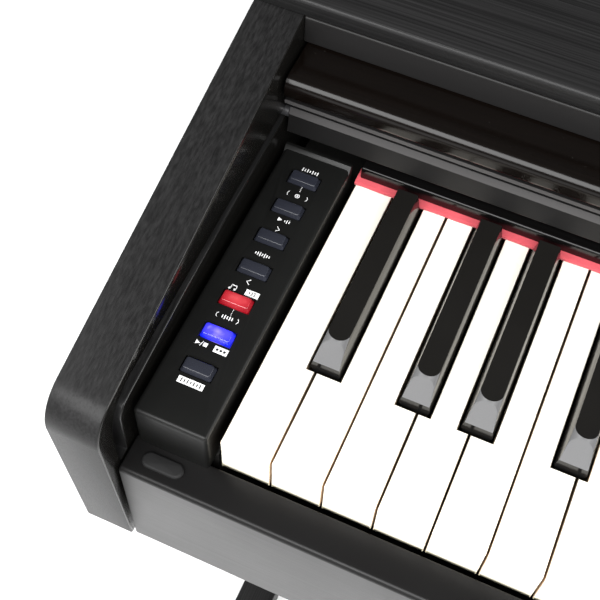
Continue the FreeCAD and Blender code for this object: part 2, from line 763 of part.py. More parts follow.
def music_rest():
    """A flat desk that lifts from the top board on pins held by the book ledge."""
    half = "rest_long/2"
    level = "top_face+rest_lift+rest_thick/2"
    pin = "rest_thick/2-1.5"
    bar = box("ledge_bar", "-" + half, "ledge_place", "top_face", "rest_long", "ledge_deep",
              "ledge_high")
    lugs = []
    pins = []
    for side in (-1, 1):
        x = "-%s-lug_long" % half if side < 0 else half
        lugs.append(box("ledge_lug_%d" % side, x, "ledge_place", "top_face", "lug_long",
                        "ledge_deep+hinge_air+rest_thick", "ledge_high"))
        start = "-%s-1" % half if side < 0 else "%s-9" % half
        pins.append(rod("ledge_pin_%d" % side, start, "hinge_place+rest_thick/2", level, pin,
                        "10", "x"))
    ledge = fuse("music_ledge", [bar] + lugs + pins)
    desk = box("rest_desk", "-%s+0.5" % half, "hinge_place+rest_thick/2",
               "top_face+rest_lift", "rest_long-1", "rest_deep", "rest_thick")
    nose = rod("rest_nose", "-%s+0.5" % half, "hinge_place+rest_thick/2", level,
               "rest_thick/2", "rest_long-1", "x")
    bores = [rod("rest_bore_%d" % side, "-%s" % half if side < 0 else "%s-9.5" % half,
                 "hinge_place+rest_thick/2", level, pin + "+axle_air", "9.5", "x")
             for side in (-1, 1)]
    rest = cut("music_rest", fuse("rest_blank", [desk, nose]), bores)
    return [ledge, rest]


# ---------------------------------------------------------------- inside the console

def speakers():
    pieces = []
    grilles = []
    for side in (-1, 1):
        name = "speaker_%d" % side
        body = new_body(name)
        deep = "speaker_deep"
        section = outline(body, name + "_section", "XZ_Plane", [
            ("0", "4"), ("8", "4"), ("speaker_radius-6", "0"), ("speaker_rim", "0"),
            ("speaker_rim", "2"), ("speaker_radius-4", "2"), ("magnet_radius", deep + "-14"),
            ("magnet_radius", deep), ("0", deep)])
        turned = body.newObject("PartDesign::Revolution", name + "_form")
        turned.Profile = section
        turned.ReferenceAxis = (section, ["V_Axis"])
        turned.Angle = 360
        pieces.append(place(body, "%d*speaker_side" % side, "speaker_y", "bed_top"))
        plate = rod("grille_plate_%d" % side, "%d*speaker_side" % side, "speaker_y",
                    "bed_under-grille_thick", "speaker_rim", "grille_thick")
        holes = []
        steps = 4
        for row in range(-steps, steps + 1):
            for column in range(-steps, steps + 1):
                if row * row + column * column > steps * steps:
                    continue
                holes.append(rod("grille_hole_%d_%d_%d" % (side, row, column),
                                 "%d*speaker_side%+d*grille_step" % (side, column),
                                 "speaker_y%+d*grille_step" % row,
                                 "bed_under-grille_thick-1", "grille_hole",
                                 "grille_thick+2"))
        grilles.append(cut("grille_%d" % side, plate, holes))
    return [group("speaker_drivers", pieces), group("speaker_grilles", grilles)]


def circuit():
    """Main circuit board on posts, and the socket panel at the back."""
    y = "back_face-jack_sunk-jack_deep-6-circuit_wide"
    z = "bed_top+post_high"
    plate = box("circuit_plate", "-circuit_long/2", y, z, "circuit_long", "circuit_wide",
                "circuit_thick")
    parts = [plate]
    for n, (a, b) in enumerate(((0.05, 0.1), (0.95, 0.1), (0.05, 0.9), (0.95, 0.9))):
        parts.append(rod("circuit_post_%d" % n, "-circuit_long/2+%g*circuit_long" % a,
                         "%s+%g*circuit_wide" % (y, b), "bed_top", "3", "post_high"))
    chips = ((0.2, 0.3, 34, 34, 3), (0.5, 0.55, 22, 22, 2.5), (0.75, 0.25, 40, 12, 9))
    for n, (a, b, long, wide, high) in enumerate(chips):
        parts.append(box("circuit_chip_%d" % n, "-circuit_long/2+%g*circuit_long" % a,
                         "%s+%g*circuit_wide" % (y, b), z + "+circuit_thick", str(long),
                         str(wide), str(high)))
    board = fuse("main_circuit_board", parts)
    face = "back_face-jack_sunk"
    sockets = []
    for n in (-1, 0, 1):
        block = box("jack_block_%d" % n, "%g*jack_pitch" % (n - 0.5), face + "-jack_deep",
                    "jack_low", "jack_pitch", "jack_deep", "jack_high")
        bore = rod("socket_%d" % n, "%d*jack_pitch" % n, face + "-socket_deep",
                   "jack_low+jack_high/2", "inlet_radius" if n < 0 else "phones_radius",
                   "socket_deep+1", "y")
        sockets.append(cut("jack_socket_%d" % n, block, [bore]))
    panel = group("jack_panel", sockets)
    return [board, panel]


# ---------------------------------------------------------------- stand

def stand():
    nodes = []
    for side, word in ((-1, "left"), (1, "right")):
        x = "-arm_outer" if side < 0 else "arm_inner"
        nodes.append(box(word + "_leg_panel", x, "leg_front", "foot_top", "arm_thick",
                         "leg_deep", "bed_under-(foot_top)"))
        foot = new_body(word + "_foot")
        toe = ("back_face-foot_long", "foot_top")
        section = outline(foot, word + "_foot_section", "YZ_Plane", [
            ("back_face-foot_long", "glide_high"), ("back_face", "glide_high"),
            ("back_face", "foot_top"), toe])
        feature(foot, "Pad", word + "_foot_block", section, Length="foot_wide")
        rounded(foot, word + "_foot_toe", "foot_round", [toe], 0)
        nodes.append(place(foot, "-arm_outer" if side < 0 else "arm_outer-foot_wide"))
    glides = []
    for side in (-1, 1):
        for n, y in enumerate(("back_face-foot_long+glide_inset", "back_face-glide_inset")):
            glides.append(rod("glide_%d_%d" % (side, n), "%d*(arm_outer-foot_wide/2)" % side, y,
                              "0", "glide_radius", "glide_high"))
        glides.append(rod("glide_unit_%d" % side, "%d*(unit_long/2-glide_radius*2)" % side,
                          "unit_front+unit_deep/2", "0", "glide_radius", "glide_high"))
    nodes.append(group("glide_pads", glides))
    span = "2*arm_inner"
    nodes.append(box("stand_back_panel", "-arm_inner", "back_face-brace_back-board",
                     "bed_under-brace_high", span, "board", "brace_high"))
    nodes.append(box("pedal_beam", "-arm_inner", "beam_front", "beam_low", span, "beam_thick",
                     "beam_high"))
    return nodes


def pedal(name, column):
    """A flat lever with a round toe and a boss that turns on the axle."""
    body = new_body(name)
    root = "pedal_wide/2"
    toe = "pedal_toe/2"
    tip = "-(unit_deep-axle_in+pedal_out)"
    neck = "%s+pedal_toe_long" % tip
    ring = [("-" + root, "0"), ("-" + root, neck + "+10"), ("-" + toe, neck),
            ("-" + toe, tip), (toe, tip), (toe, neck), (root, neck + "+10"), (root, "0")]
    plan = outline(body, name + "_plan", "XY_Plane", ring, "-pedal_thick/2")
    feature(body, "Pad", name + "_lever", plan, Length="pedal_thick")
    rounded(body, name + "_toe_round", "pedal_toe*0.45", [("-" + toe, tip), (toe, tip)], 2)
    place(body, "%d*pedal_pitch" % column, "axle_place", "axle_level")
    boss = rod(name + "_boss", "%d*pedal_pitch-%s" % (column, root), "axle_place", "axle_level",
               "pedal_boss", "pedal_wide", "x")
    bore = rod(name + "_bore", "%d*pedal_pitch-%s-1" % (column, root), "axle_place",
               "axle_level", "axle_radius+axle_air", "pedal_wide+2", "x")
    return cut(name + "_lever_cut", fuse(name + "_blank", [body, boss]), [bore])


def pedal_unit():
    half = "unit_long/2"
    shell = box("unit_block", "-" + half, "unit_front", "glide_high", "unit_long", "unit_deep",
                "unit_high")
    cavity = box("unit_cavity", "-%s+unit_wall" % half, "unit_front+unit_wall",
                 "glide_high+unit_wall", "unit_long-2*unit_wall", "unit_deep-2*unit_wall",
                 "unit_high-2*unit_wall")
    tools = [cavity]
    for column in (-1, 0, 1):
        tools.append(box("unit_slot_%d" % column,
                         "%d*pedal_pitch-pedal_wide/2-pedal_air" % column, "unit_front-1",
                         "axle_level-pedal_thick/2-pedal_air-pedal_dip*0.75",
                         "pedal_wide+2*pedal_air", "unit_wall+2",
                         "pedal_thick+2*pedal_air+pedal_dip*0.75"))
    tools.append(rod("unit_bore", "-%s-1" % half, "axle_place", "axle_level",
                     "axle_radius+axle_air", "unit_long+2", "x"))
    nodes = [cut("pedal_housing", shell, tools)]
    nodes.append(rod("pedal_axle", "-%s+0.5" % half, "axle_place", "axle_level", "axle_radius",
                     "unit_long-1", "x"))
    for column, word in ((-1, "soft"), (0, "sostenuto"), (1, "damper")):
        lever = pedal(word, column)
        lever.Label = word + "_pedal"
        nodes.append(lever)
    return nodes


# ---------------------------------------------------------------- build, check and write

def write(nodes):
    for thing in doc.Objects:
        if {"Invalid", "Error"} & set(thing.State):
            raise RuntimeError("%s failed: %s" % (thing.Label, thing.State))
    for node in nodes:
        shape = node.Shape
        if shape.isNull() or not shape.isValid() or shape.Volume <= 0:
            raise RuntimeError("%s has no valid shape" % node.Label)
    os.makedirs("parts", exist_ok=True)
    for node in nodes:
        node.Shape.exportStep("parts/%s.step" % node.Label)
        print("%-26s %3d solid(s) %10.0f mm3" % (node.Label, len(node.Shape.Solids),
                                                 node.Shape.Volume))


def main():
    nodes = keyboard() + cabinet() + [screws(), key_frame()] + rails() + controls()
    nodes += cover() + music_rest() + speakers() + circuit() + stand() + pedal_unit()
    doc.recompute()
    write(nodes)
    print(len(nodes), "nodes")


main()
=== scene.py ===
"""Digital piano on its stand: finished surfaces, small parts and the stage.

Metres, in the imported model's frame: +X to the player's right, +Y to the back, +Z up.
"""
import json
import math

import bmesh
import bpy
from bpy.props import FloatProperty, FloatVectorProperty, IntProperty, PointerProperty
from mathutils import Matrix, Vector

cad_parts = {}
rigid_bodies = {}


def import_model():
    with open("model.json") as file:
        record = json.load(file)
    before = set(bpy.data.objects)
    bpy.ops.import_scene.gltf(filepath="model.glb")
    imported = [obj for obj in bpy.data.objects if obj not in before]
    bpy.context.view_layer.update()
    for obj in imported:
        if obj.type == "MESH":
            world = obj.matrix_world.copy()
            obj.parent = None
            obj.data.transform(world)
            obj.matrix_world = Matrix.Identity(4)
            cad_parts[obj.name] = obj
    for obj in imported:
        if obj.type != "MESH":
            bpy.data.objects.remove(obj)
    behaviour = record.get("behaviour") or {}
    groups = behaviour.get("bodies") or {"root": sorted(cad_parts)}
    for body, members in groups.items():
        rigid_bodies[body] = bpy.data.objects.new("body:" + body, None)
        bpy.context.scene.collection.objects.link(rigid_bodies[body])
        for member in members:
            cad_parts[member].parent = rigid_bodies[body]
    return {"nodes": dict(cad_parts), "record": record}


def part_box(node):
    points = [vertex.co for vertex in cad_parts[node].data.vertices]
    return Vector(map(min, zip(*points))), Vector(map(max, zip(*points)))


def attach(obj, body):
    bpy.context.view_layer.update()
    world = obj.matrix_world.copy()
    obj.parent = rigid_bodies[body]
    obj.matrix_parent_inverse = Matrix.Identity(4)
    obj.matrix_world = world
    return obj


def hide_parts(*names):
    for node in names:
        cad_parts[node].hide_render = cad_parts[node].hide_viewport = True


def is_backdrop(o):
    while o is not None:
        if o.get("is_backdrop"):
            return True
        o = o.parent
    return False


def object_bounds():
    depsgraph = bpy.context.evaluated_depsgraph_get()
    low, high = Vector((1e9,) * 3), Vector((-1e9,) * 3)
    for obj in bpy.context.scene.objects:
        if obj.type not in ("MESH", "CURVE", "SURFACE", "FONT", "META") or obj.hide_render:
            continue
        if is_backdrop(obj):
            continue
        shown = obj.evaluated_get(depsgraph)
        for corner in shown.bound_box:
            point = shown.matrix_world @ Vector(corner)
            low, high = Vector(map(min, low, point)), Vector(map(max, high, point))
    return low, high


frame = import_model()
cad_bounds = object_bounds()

bl_info = {"name": "Digital piano", "version": (1, 0, 0), "blender": (4, 5, 0),
    "location": "3D View > Sidebar > Piano",
    "description": "Builds the visible parts and finishes of a console digital piano",
    "category": "Object",}

NODES = frame["nodes"]
HOME = {node: body for body, nodes in frame["record"]["behaviour"]["bodies"].items()
        for node in nodes}
MM = 0.001


# ---- node trees

class Sock:
    """A node's output that takes part in ordinary sums."""

    def __init__(self, web, socket):
        self.web, self.socket = web, socket

    def sum(self, operation, first, second):
        return self.web.node("ShaderNodeMath", {"operation": operation}, {0: first, 1: second})

    def __add__(self, other):
        return self.sum("ADD", self, other)

    __radd__ = __add__

    def __sub__(self, other):
        return self.sum("SUBTRACT", self, other)

    def __mul__(self, other):
        return self.sum("MULTIPLY", self, other)


class Web:
    """A node tree that is wired from Python expressions."""

    def __init__(self, tree):
        self.tree = tree

    def feed(self, socket, value):
        if isinstance(value, Sock):
            self.tree.links.new(value.socket, socket)
        else:
            socket.default_value = value

    def node(self, kind, settings=None, inputs=None, output=0):
        made = self.tree.nodes.new(kind)
        for name, setting in (settings or {}).items():
            if name == "stops":
                ramp = made.color_ramp
                while len(ramp.elements) < len(setting):
                    ramp.elements.new(0.5)
                for stop, (place, shade) in zip(ramp.elements, setting):
                    stop.position = place
                    stop.color = (shade, shade, shade, 1)
            else:
                setattr(made, name, setting)
        for name, value in (inputs or {}).items():
            self.feed(made.inputs[name], value)
        return Sock(self, made.outputs[output])


class Finish(Web):
    """A material built on one Principled shader."""

    def __init__(self, name, **constants):
        self.material = bpy.data.materials.new(name)
        self.material.use_nodes = True
        super().__init__(self.material.node_tree)
        self.shader = self.tree.nodes["Principled BSDF"]
        for word, value in constants.items():
            self.set(word.replace("_", " ").title().replace("Ior", "IOR"), value)

    def set(self, socket, value):
        self.feed(self.shader.inputs[socket], value)

    def place(self, stretch=(1, 1, 1)):
        """Object coordinates, drawn out by different amounts along the axes."""
        here = self.node("ShaderNodeTexCoord", output="Object")
        return self.node("ShaderNodeMapping", None, {"Vector": here, "Scale": stretch})

    def noise(self, stretch, detail=3, roughness=0.5, distortion=0):
        return self.node("ShaderNodeTexNoise", None, {"Vector": self.place(stretch), "Scale": 1,
            "Detail": detail, "Roughness": roughness, "Distortion": distortion})

    def ramp(self, value, *stops):
        return self.node("ShaderNodeValToRGB", {"stops": stops}, {"Fac": value})

    def blend(self, first, second, share):
        return self.node("ShaderNodeMix", {"data_type": "RGBA"},
                         {0: share, 6: rgba(first), 7: rgba(second)}, 2)

    def paint(self, first, second, share):
        self.set("Base Color", self.blend(first, second, share))

    def bump(self, height, distance, strength):
        self.set("Normal", self.node("ShaderNodeBump", None, {
            "Height": height, "Distance": distance, "Strength": strength}))


def rgba(colour):
    return colour if isinstance(colour, Sock) else (*colour[:3], 1)


def shaded(colour, share):
    """The colour made darker or lighter."""
    return [min(1, part * share) for part in colour]


# ---- finishes

def wood(name, along, dark, light, shine=0.40):
    """Printed grain under a satin film, its streaks along one axis."""
    finish = Finish(name, specular_ior_level=0.2)
    fine, broad = [900] * 3, [430] * 3
    fine[along], broad[along] = 6, 3
    streak = finish.noise(fine, 3, 0.5)
    band = finish.noise(broad, 3, 0.55, 0.4)
    pores = finish.ramp(finish.noise([size * 1.7 for size in fine], 2), (0.56, 0), (0.68, 1))
    finish.paint(finish.blend(dark, light, finish.ramp(streak * 0.75 + band * 0.25, (0.36, 0),
        (0.66, 1))), shaded(dark, 0.35), pores * 0.55)
    finish.set("Roughness", shine - 0.04 + streak * 0.14 + pores * 0.08)
    finish.bump(streak - pores * 0.7, 0.05 * MM, 0.55)
    return finish.material


def moulded(name, colour, shine=0.42, grain=2600, depth=0.02, **constants):
    """Moulded plastic with a fine spark-eroded texture."""
    finish = Finish(name, **constants)
    speck = finish.noise([grain] * 3, 2, 0.6)
    cloud = finish.noise([35] * 3, 3)
    finish.paint(shaded(colour, 0.86), shaded(colour, 1.12), cloud)
    finish.set("Roughness", shine + (cloud - 0.5) * 0.12 + (speck - 0.5) * 0.08)
    finish.bump(speck, depth * MM, 0.5)
    return finish.material


def lacquer(name, dark, light, shine=0.10, specular=0.22, dusty=0.04, along=0):
    """Deep gloss over a barely visible brown grain, with faint wiping marks."""
    finish = Finish(name, specular_ior_level=specular)
    fine = [420] * 3
    fine[along] = 14
    grain = finish.noise(fine, 4, 0.6, 0.3)
    wipe = finish.noise((30, 9, 30), 3, 0.6)
    dust = finish.ramp(finish.noise([700] * 3, 1), (0.76, 0), (0.84, 1))
    finish.paint(finish.blend(dark, light, grain), (0.3, 0.29, 0.27), dust * dusty)
    finish.set("Roughness", shine + wipe * 0.10 + dust * 4 * dusty)
    finish.bump(grain, 0.01 * MM, 0.3)
    return finish.material


def brushed(name, colour, along, shine=0.30, metallic=0.0, specular=0.28):
    """Fine straight streaks along one axis, on metal or on a satin film."""
    finish = Finish(name, metallic=metallic, specular_ior_level=max(specular, 0.5 * metallic))
    fine = [2600] * 3
    fine[along] = 18
    streak = finish.noise(fine, 3, 0.6)
    cloud = finish.noise([22] * 3, 3)
    finish.paint(shaded(colour, 0.82), shaded(colour, 1.15), streak * 0.6 + cloud * 0.4)
    finish.set("Roughness", shine + (streak - 0.5) * 0.12 + (cloud - 0.5) * 0.08)
    finish.bump(streak, 0.012 * MM, 0.5)
    return finish.material


def felt_cloth(name, colour):
    finish = Finish(name, roughness=0.95, sheen_weight=0.3, sheen_roughness=0.5,
                    sheen_tint=(1.0, 0.55, 0.6, 1), specular_ior_level=0.1)
    tuft = finish.noise([2200] * 3, 4, 0.7, 1.2)
    cloud = finish.noise([160] * 3, 3)
    finish.paint(shaded(colour, 0.78), colour, finish.ramp(tuft * 0.6 + cloud * 0.4, (0.3, 0),
        (0.62, 1)))
    finish.bump(tuft, 0.25 * MM, 0.8)
    return finish.material


def rubber(name, colour):
    finish = Finish(name, specular_ior_level=0.35)
    speck = finish.noise([3200] * 3, 3, 0.7)
    scuff = finish.ramp(finish.noise((180, 420, 180), 3), (0.55, 0), (0.8, 1))
    finish.paint(colour, shaded(colour, 1.5), scuff)
    finish.set("Roughness", 0.62 + speck * 0.2)
    finish.bump(speck, 0.06 * MM, 0.6)
    return finish.material


def lit_cap(name, middle, rim, body, core, strength):
    """Translucent cap: dark at the rim, with the lamp's glow spread along its middle."""
    half_x, half_y = 8.6 * MM, 4.4 * MM
    finish = Finish(name, roughness=0.20, coat_weight=0.5, coat_roughness=0.08)
    here = finish.node("ShaderNodeTexCoord", output="Object")
    apart = finish.node("ShaderNodeVectorMath", {"operation": "SUBTRACT"},
                        {0: here, 1: tuple(middle)})
    reach = finish.node("ShaderNodeVectorMath", {"operation": "MULTIPLY"},
                        {0: apart, 1: (1 / half_x, 1 / half_y, 0)})
    far = finish.node("ShaderNodeVectorMath", {"operation": "LENGTH"}, {0: reach}, "Value")
    cloud = finish.noise([190] * 3, 2, 0.5, 0.6)
    inward = finish.ramp(far, (0.0, 1), (0.55, 0.72), (0.86, 0.3), (1.0, 0))
    glow = finish.blend(finish.blend(rim, body, inward), core,
                        finish.ramp(inward * 0.75 + cloud * 0.45, (0.78, 0), (1.0, 1)))
    finish.paint(rim, body, inward)
    finish.set("Emission Color", glow)
    finish.set("Emission Strength", strength)
    return finish.material


def ink(name, colour):
    finish = Finish(name, specular_ior_level=0.3)
    wear = finish.noise([1500] * 3, 2)
    finish.paint(shaded(colour, 0.85), colour, wear)
    finish.set("Roughness", 0.5 + wear * 0.15)
    return finish.material


# ---- shapes

def placed(name, data):
    """A new object in the scene."""
    thing = bpy.data.objects.new(name, data)
    bpy.context.scene.collection.objects.link(thing)
    return thing


def show(name, mesh, body, *finishes, slot=None, stands_for=()):
    """Adds a mesh as a piece that rides on a body and may stand for CAD nodes."""
    piece = placed(name, mesh)
    for place, finish in enumerate(finishes):
        if place < len(mesh.materials):
            mesh.materials[place] = finish
        else:
            mesh.materials.append(finish)
    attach(piece, body)
    if stands_for:
        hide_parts(*stands_for)
    return piece


def stand_in(node, ending, mesh, *finishes, slot):
    """Shows a mesh in the place of one CAD node, under a name made from the node's."""
    return show(node + ending, mesh, HOME[node], *finishes, slot=slot, stands_for=(node,))


def dress(node, finish):
    """Gives a CAD node that stays in view its finish."""
    mesh = NODES[node].data
    mesh.materials.clear()
    mesh.materials.append(finish)


def settled(piece):
    """The piece's mesh with its modifiers applied; the piece itself is removed."""
    graph = bpy.context.evaluated_depsgraph_get()
    mesh = bpy.data.meshes.new_from_object(piece.evaluated_get(graph))
    bpy.data.objects.remove(piece)
    return mesh


def face_outwards(build):
    bmesh.ops.recalc_face_normals(build, faces=build.faces)


def to_mesh(build, name, smooth=True, sharp=None):
    mesh = bpy.data.meshes.new(name)
    build.to_mesh(mesh)
    build.free()
    if smooth:
        mesh.shade_smooth()
    if sharp is not None:
        mesh.set_sharp_from_angle(angle=math.radians(sharp))
    return mesh


def bevelled(mesh, width, segments=3, by_weight=False):
    """The mesh with its edges rounded."""
    holder = placed("rounding", mesh)
    mesh.shade_smooth()
    rounding = holder.modifiers.new("Rounding", "BEVEL")
    rounding.width = width
    rounding.segments = segments
    rounding.limit_method = "WEIGHT" if by_weight else "ANGLE"
    rounding.angle_limit = math.radians(30)
    rounding.harden_normals = True
    return settled(holder)


def joined_up(node):
    """A CAD node's mesh as a bmesh of whole faces instead of loose triangles."""
    build = bmesh.new()
    build.from_mesh(NODES[node].data)
    bmesh.ops.remove_doubles(build, verts=build.verts, dist=2e-6)
    bmesh.ops.dissolve_limit(build, angle_limit=math.radians(0.6), verts=build.verts,
                             edges=build.edges)
    return build


def softened(node, width, *finishes, slot, segments=3, pick=None):
    """A finer copy of a CAD node with rounded edges, in that node's place.

    pick says from a face's centre and normal which finish it takes.
    """
    mesh = bevelled(to_mesh(joined_up(node), node), width, segments)
    stand_in(node, "_finished", mesh, *finishes, slot=slot)
    if pick:
        for face in mesh.polygons:
            face.material_index = pick(face.center, face.normal)


def rounded_profile(corners, steps=6):
    """Rounds each (y, z, radius) corner of a closed outline."""
    points = []
    for i, (*place, radius) in enumerate(corners):
        here = Vector(place)
        before = (Vector(corners[i - 1][:2]) - here).normalized()
        after = (Vector(corners[(i + 1) % len(corners)][:2]) - here).normalized()
        if not radius:
            points.append(here)
            continue
        half = before.angle(after) / 2
        middle = here + (before + after).normalized() * radius / math.sin(half)
        start = here + before * radius / math.tan(half) - middle
        end = here + after * radius / math.tan(half) - middle
        for step in range(steps + 1):
            points.append(middle + start.lerp(end, step / steps).normalized() * radius)
    return points


def moulding(name, corners, left, right):
    """A bar of one rounded section that runs along X, with even reflections."""
    section = rounded_profile(corners)
    build = bmesh.new()
    ring_band(build, [[Vector((x, p.x, p.y)) for p in section] for x in (left, right)])
    face_outwards(build)
    holder = placed(name, to_mesh(build, name, sharp=20))
    evened = holder.modifiers.new("Even", "WEIGHTED_NORMAL")
    evened.keep_sharp = True
    return settled(holder)


def ring_band(build, rings, finish=0):
    """Skins and caps a stack of rings with the same number of corners, bottom ring first."""
    loops = [[build.verts.new(corner) for corner in ring] for ring in rings]
    count = len(rings[0])
    for low, high in zip(loops, loops[1:]):
        for i in range(count):
            j = (i + 1) % count
            build.faces.new((low[i], low[j], high[j], high[i])).material_index = finish
    for lid in (loops[0][::-1], loops[-1]):
        build.faces.new(lid).material_index = finish
    return loops


def slab_outline(centre, half_x, half_y, corner, steps=5):
    """A rectangle with rounded corners, counter-clockwise from above."""
    points = []
    for n, (sx, sy) in enumerate(((1, 1), (-1, 1), (-1, -1), (1, -1))):
        for step in range(steps + 1):
            turn = math.pi / 2 * (n + step / steps)
            points.append((centre[0] + sx * (half_x - corner) + corner * math.cos(turn),
                           centre[1] + sy * (half_y - corner) + corner * math.sin(turn)))
    return points


def slab(build, centre, half_x, half_y, low, high, corner, edge, crown=0.0, steps=5, draft=0.0):
    """A block with rounded corners, a rounded top edge and a slightly domed top.

    With draft, its sides lean inwards by that much on the way up.
    """
    rings = [[Vector((x, y, low)) for x, y in
              slab_outline(centre, half_x + draft, half_y + draft, corner, steps)]]
    for step in range(steps + 1):
        turn = math.pi / 2 * step / steps
        inset = edge * (1 - math.cos(turn))
        rings.append([Vector((x, y, high - crown - edge * (1 - math.sin(turn)))) for x, y in
                      slab_outline(centre, half_x - inset, half_y - inset,
                                   max(corner - inset, 1e-5), steps)])
    if crown:
        flat = rings[-1]
        middle = Vector((centre[0], centre[1], high))
        for share in (0.75, 0.45, 0.15):
            lift = crown * (1 - share * share)
            ring = [middle.lerp(Vector((p.x, p.y, high)), share) for p in flat]
            rings.append([Vector((p.x, p.y, high - crown + lift)) for p in ring])
    ring_band(build, rings)


def lathe(build, centre, profile, steps=32, axis="z", finish=0):
    """Turns (radius, height) pairs round an axis; closed where the radius ends small."""
    swap = {"z": lambda a, b, h: (a, b, h), "y": lambda a, b, h: (b, h, a),
            "x": lambda a, b, h: (h, a, b)}[axis]
    turns = [2 * math.pi * i / steps for i in range(steps)]
    ring_band(build, [[Vector(centre) + Vector(swap(radius * math.cos(turn),
                                                    radius * math.sin(turn), height))
                       for turn in turns] for radius, height in profile], finish)


def flat_shape(build, points, z, thick, finish=0):
    """A printed mark: a closed outline given a film's thickness."""
    ring_band(build, [[(x, y, level) for x, y in points] for level in (z, z + thick)], finish)


def middle_of(node):
    low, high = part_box(node)
    return (low + high) / 2


def in_mm(points, base=0):
    """Profile points given in millimetres, the second number counted from a base."""
    return [(first * MM, base + second * MM) for first, second in points]


# ---- geometry node trees

class Grove(Web):
    """A Geometry Nodes tree with named inputs that ends in real, finished geometry."""

    def __init__(self, name, **sizes):
        super().__init__(bpy.data.node_groups.new(name, "GeometryNodeTree"))
        face = self.tree.interface
        face.new_socket("Geometry", in_out="INPUT", socket_type="NodeSocketGeometry")
        face.new_socket("Geometry", in_out="OUTPUT", socket_type="NodeSocketGeometry")
        self.ids = {}
        for word, kind in sizes.items():
            self.ids[word] = face.new_socket(word, in_out="INPUT",
                                             socket_type="NodeSocket" + kind).identifier
        self.source = self.tree.nodes.new("NodeGroupInput")

    def given(self, word):
        return Sock(self, self.source.outputs[word])

    def finish(self, geometry):
        real = self.node("GeometryNodeRealizeInstances", None, {"Geometry": geometry})
        dyed = self.node("GeometryNodeSetMaterial", None,
                         {"Geometry": real, "Material": self.given("Finish")})
        end = self.tree.nodes.new("NodeGroupOutput")
        self.tree.links.new(dyed.socket, end.inputs[0])
        return self

    def grow(self, mesh=None, **values):
        """Runs the tree on a mesh and returns the plain mesh that it makes."""
        holder = placed("grown", mesh or bpy.data.meshes.new("seed"))
        grower = holder.modifiers.new("Grow", "NODES")
        grower.node_group = self.tree
        for word, value in values.items():
            grower[self.ids[word]] = value
        return settled(holder)


def row_tree():
    """Copies of one object, evenly spaced from one point to another."""
    grove = Grove("Row of copies", Start="Vector", End="Vector", Count="Int", Piece="Object",
                  Finish="Material")
    line = grove.node("GeometryNodeMeshLine", {"mode": "END_POINTS"}, {
        "Count": grove.given("Count"), "Start Location": grove.given("Start"),
        "Offset": grove.given("End")})
    piece = grove.node("GeometryNodeObjectInfo", None, {"Object": grove.given("Piece")},
                       "Geometry")
    return grove.finish(grove.node("GeometryNodeInstanceOnPoints", None,
                                   {"Points": line, "Instance": piece}))


def pile_tree():
    """Short fibres that stand out of a felt's surface."""
    grove = Grove("Felt fibres", Density="Float", Length="Float", Width="Float", Seed="Int",
                  Finish="Material")
    points = grove.tree.nodes.new("GeometryNodeDistributePointsOnFaces")
    grove.feed(points.inputs["Mesh"], grove.given("Geometry"))
    grove.feed(points.inputs["Density"], grove.given("Density"))
    grove.feed(points.inputs["Seed"], grove.given("Seed"))
    strand = grove.node("GeometryNodeMeshCone", None, {"Vertices": 3, "Side Segments": 1,
        "Radius Top": 0.0, "Radius Bottom": grove.given("Width"), "Depth": grove.given("Length")})
    lean = grove.node("FunctionNodeRandomValue", {"data_type": "FLOAT_VECTOR"}, {
        "Min": (-1.2, -1.2, -3.1), "Max": (1.2, 1.2, 3.1), "Seed": 5})
    turn = grove.node("FunctionNodeRotateRotation", None, {
        "Rotation": Sock(grove, points.outputs["Rotation"]),
        "Rotate By": grove.node("FunctionNodeEulerToRotation", None, {"Euler": lean})})
    return grove.finish(grove.node("GeometryNodeInstanceOnPoints", None,
        {"Points": Sock(grove, points.outputs["Points"]), "Instance": strand, "Rotation": turn}))


def rib_tree():
    """Ribs round a turning knob."""
    grove = Grove("Ribs round a knob", Centre="Vector", Radius="Float", Height="Float",
                  Count="Int", Width="Float", Finish="Material")
    ring = grove.node("GeometryNodeMeshCircle", None, {
        "Vertices": grove.given("Count"), "Radius": grove.given("Radius")})
    rib = grove.node("GeometryNodeMeshCylinder", None, {
        "Vertices": 8, "Radius": grove.given("Width"), "Depth": grove.given("Height")})
    ribs = grove.node("GeometryNodeInstanceOnPoints", None, {"Points": ring, "Instance": rib})
    return grove.finish(grove.node("GeometryNodeTransform", None, {
        "Geometry": ribs, "Translation": grove.given("Centre")}))


def spare(name, build):
    """An object that only a node tree copies: it is taken away once the copies are made."""
    return placed(name, to_mesh(build, name, sharp=35))


# ---- sizes and colours

def length(name, default, description):
    return FloatProperty(name=name, default=default, description=description, min=0.0,
                         unit="LENGTH", precision=5)


def colour(name, default, description):
    return FloatVectorProperty(name=name, default=default, description=description, size=3,
                               min=0.0, max=1.0, subtype="COLOR")


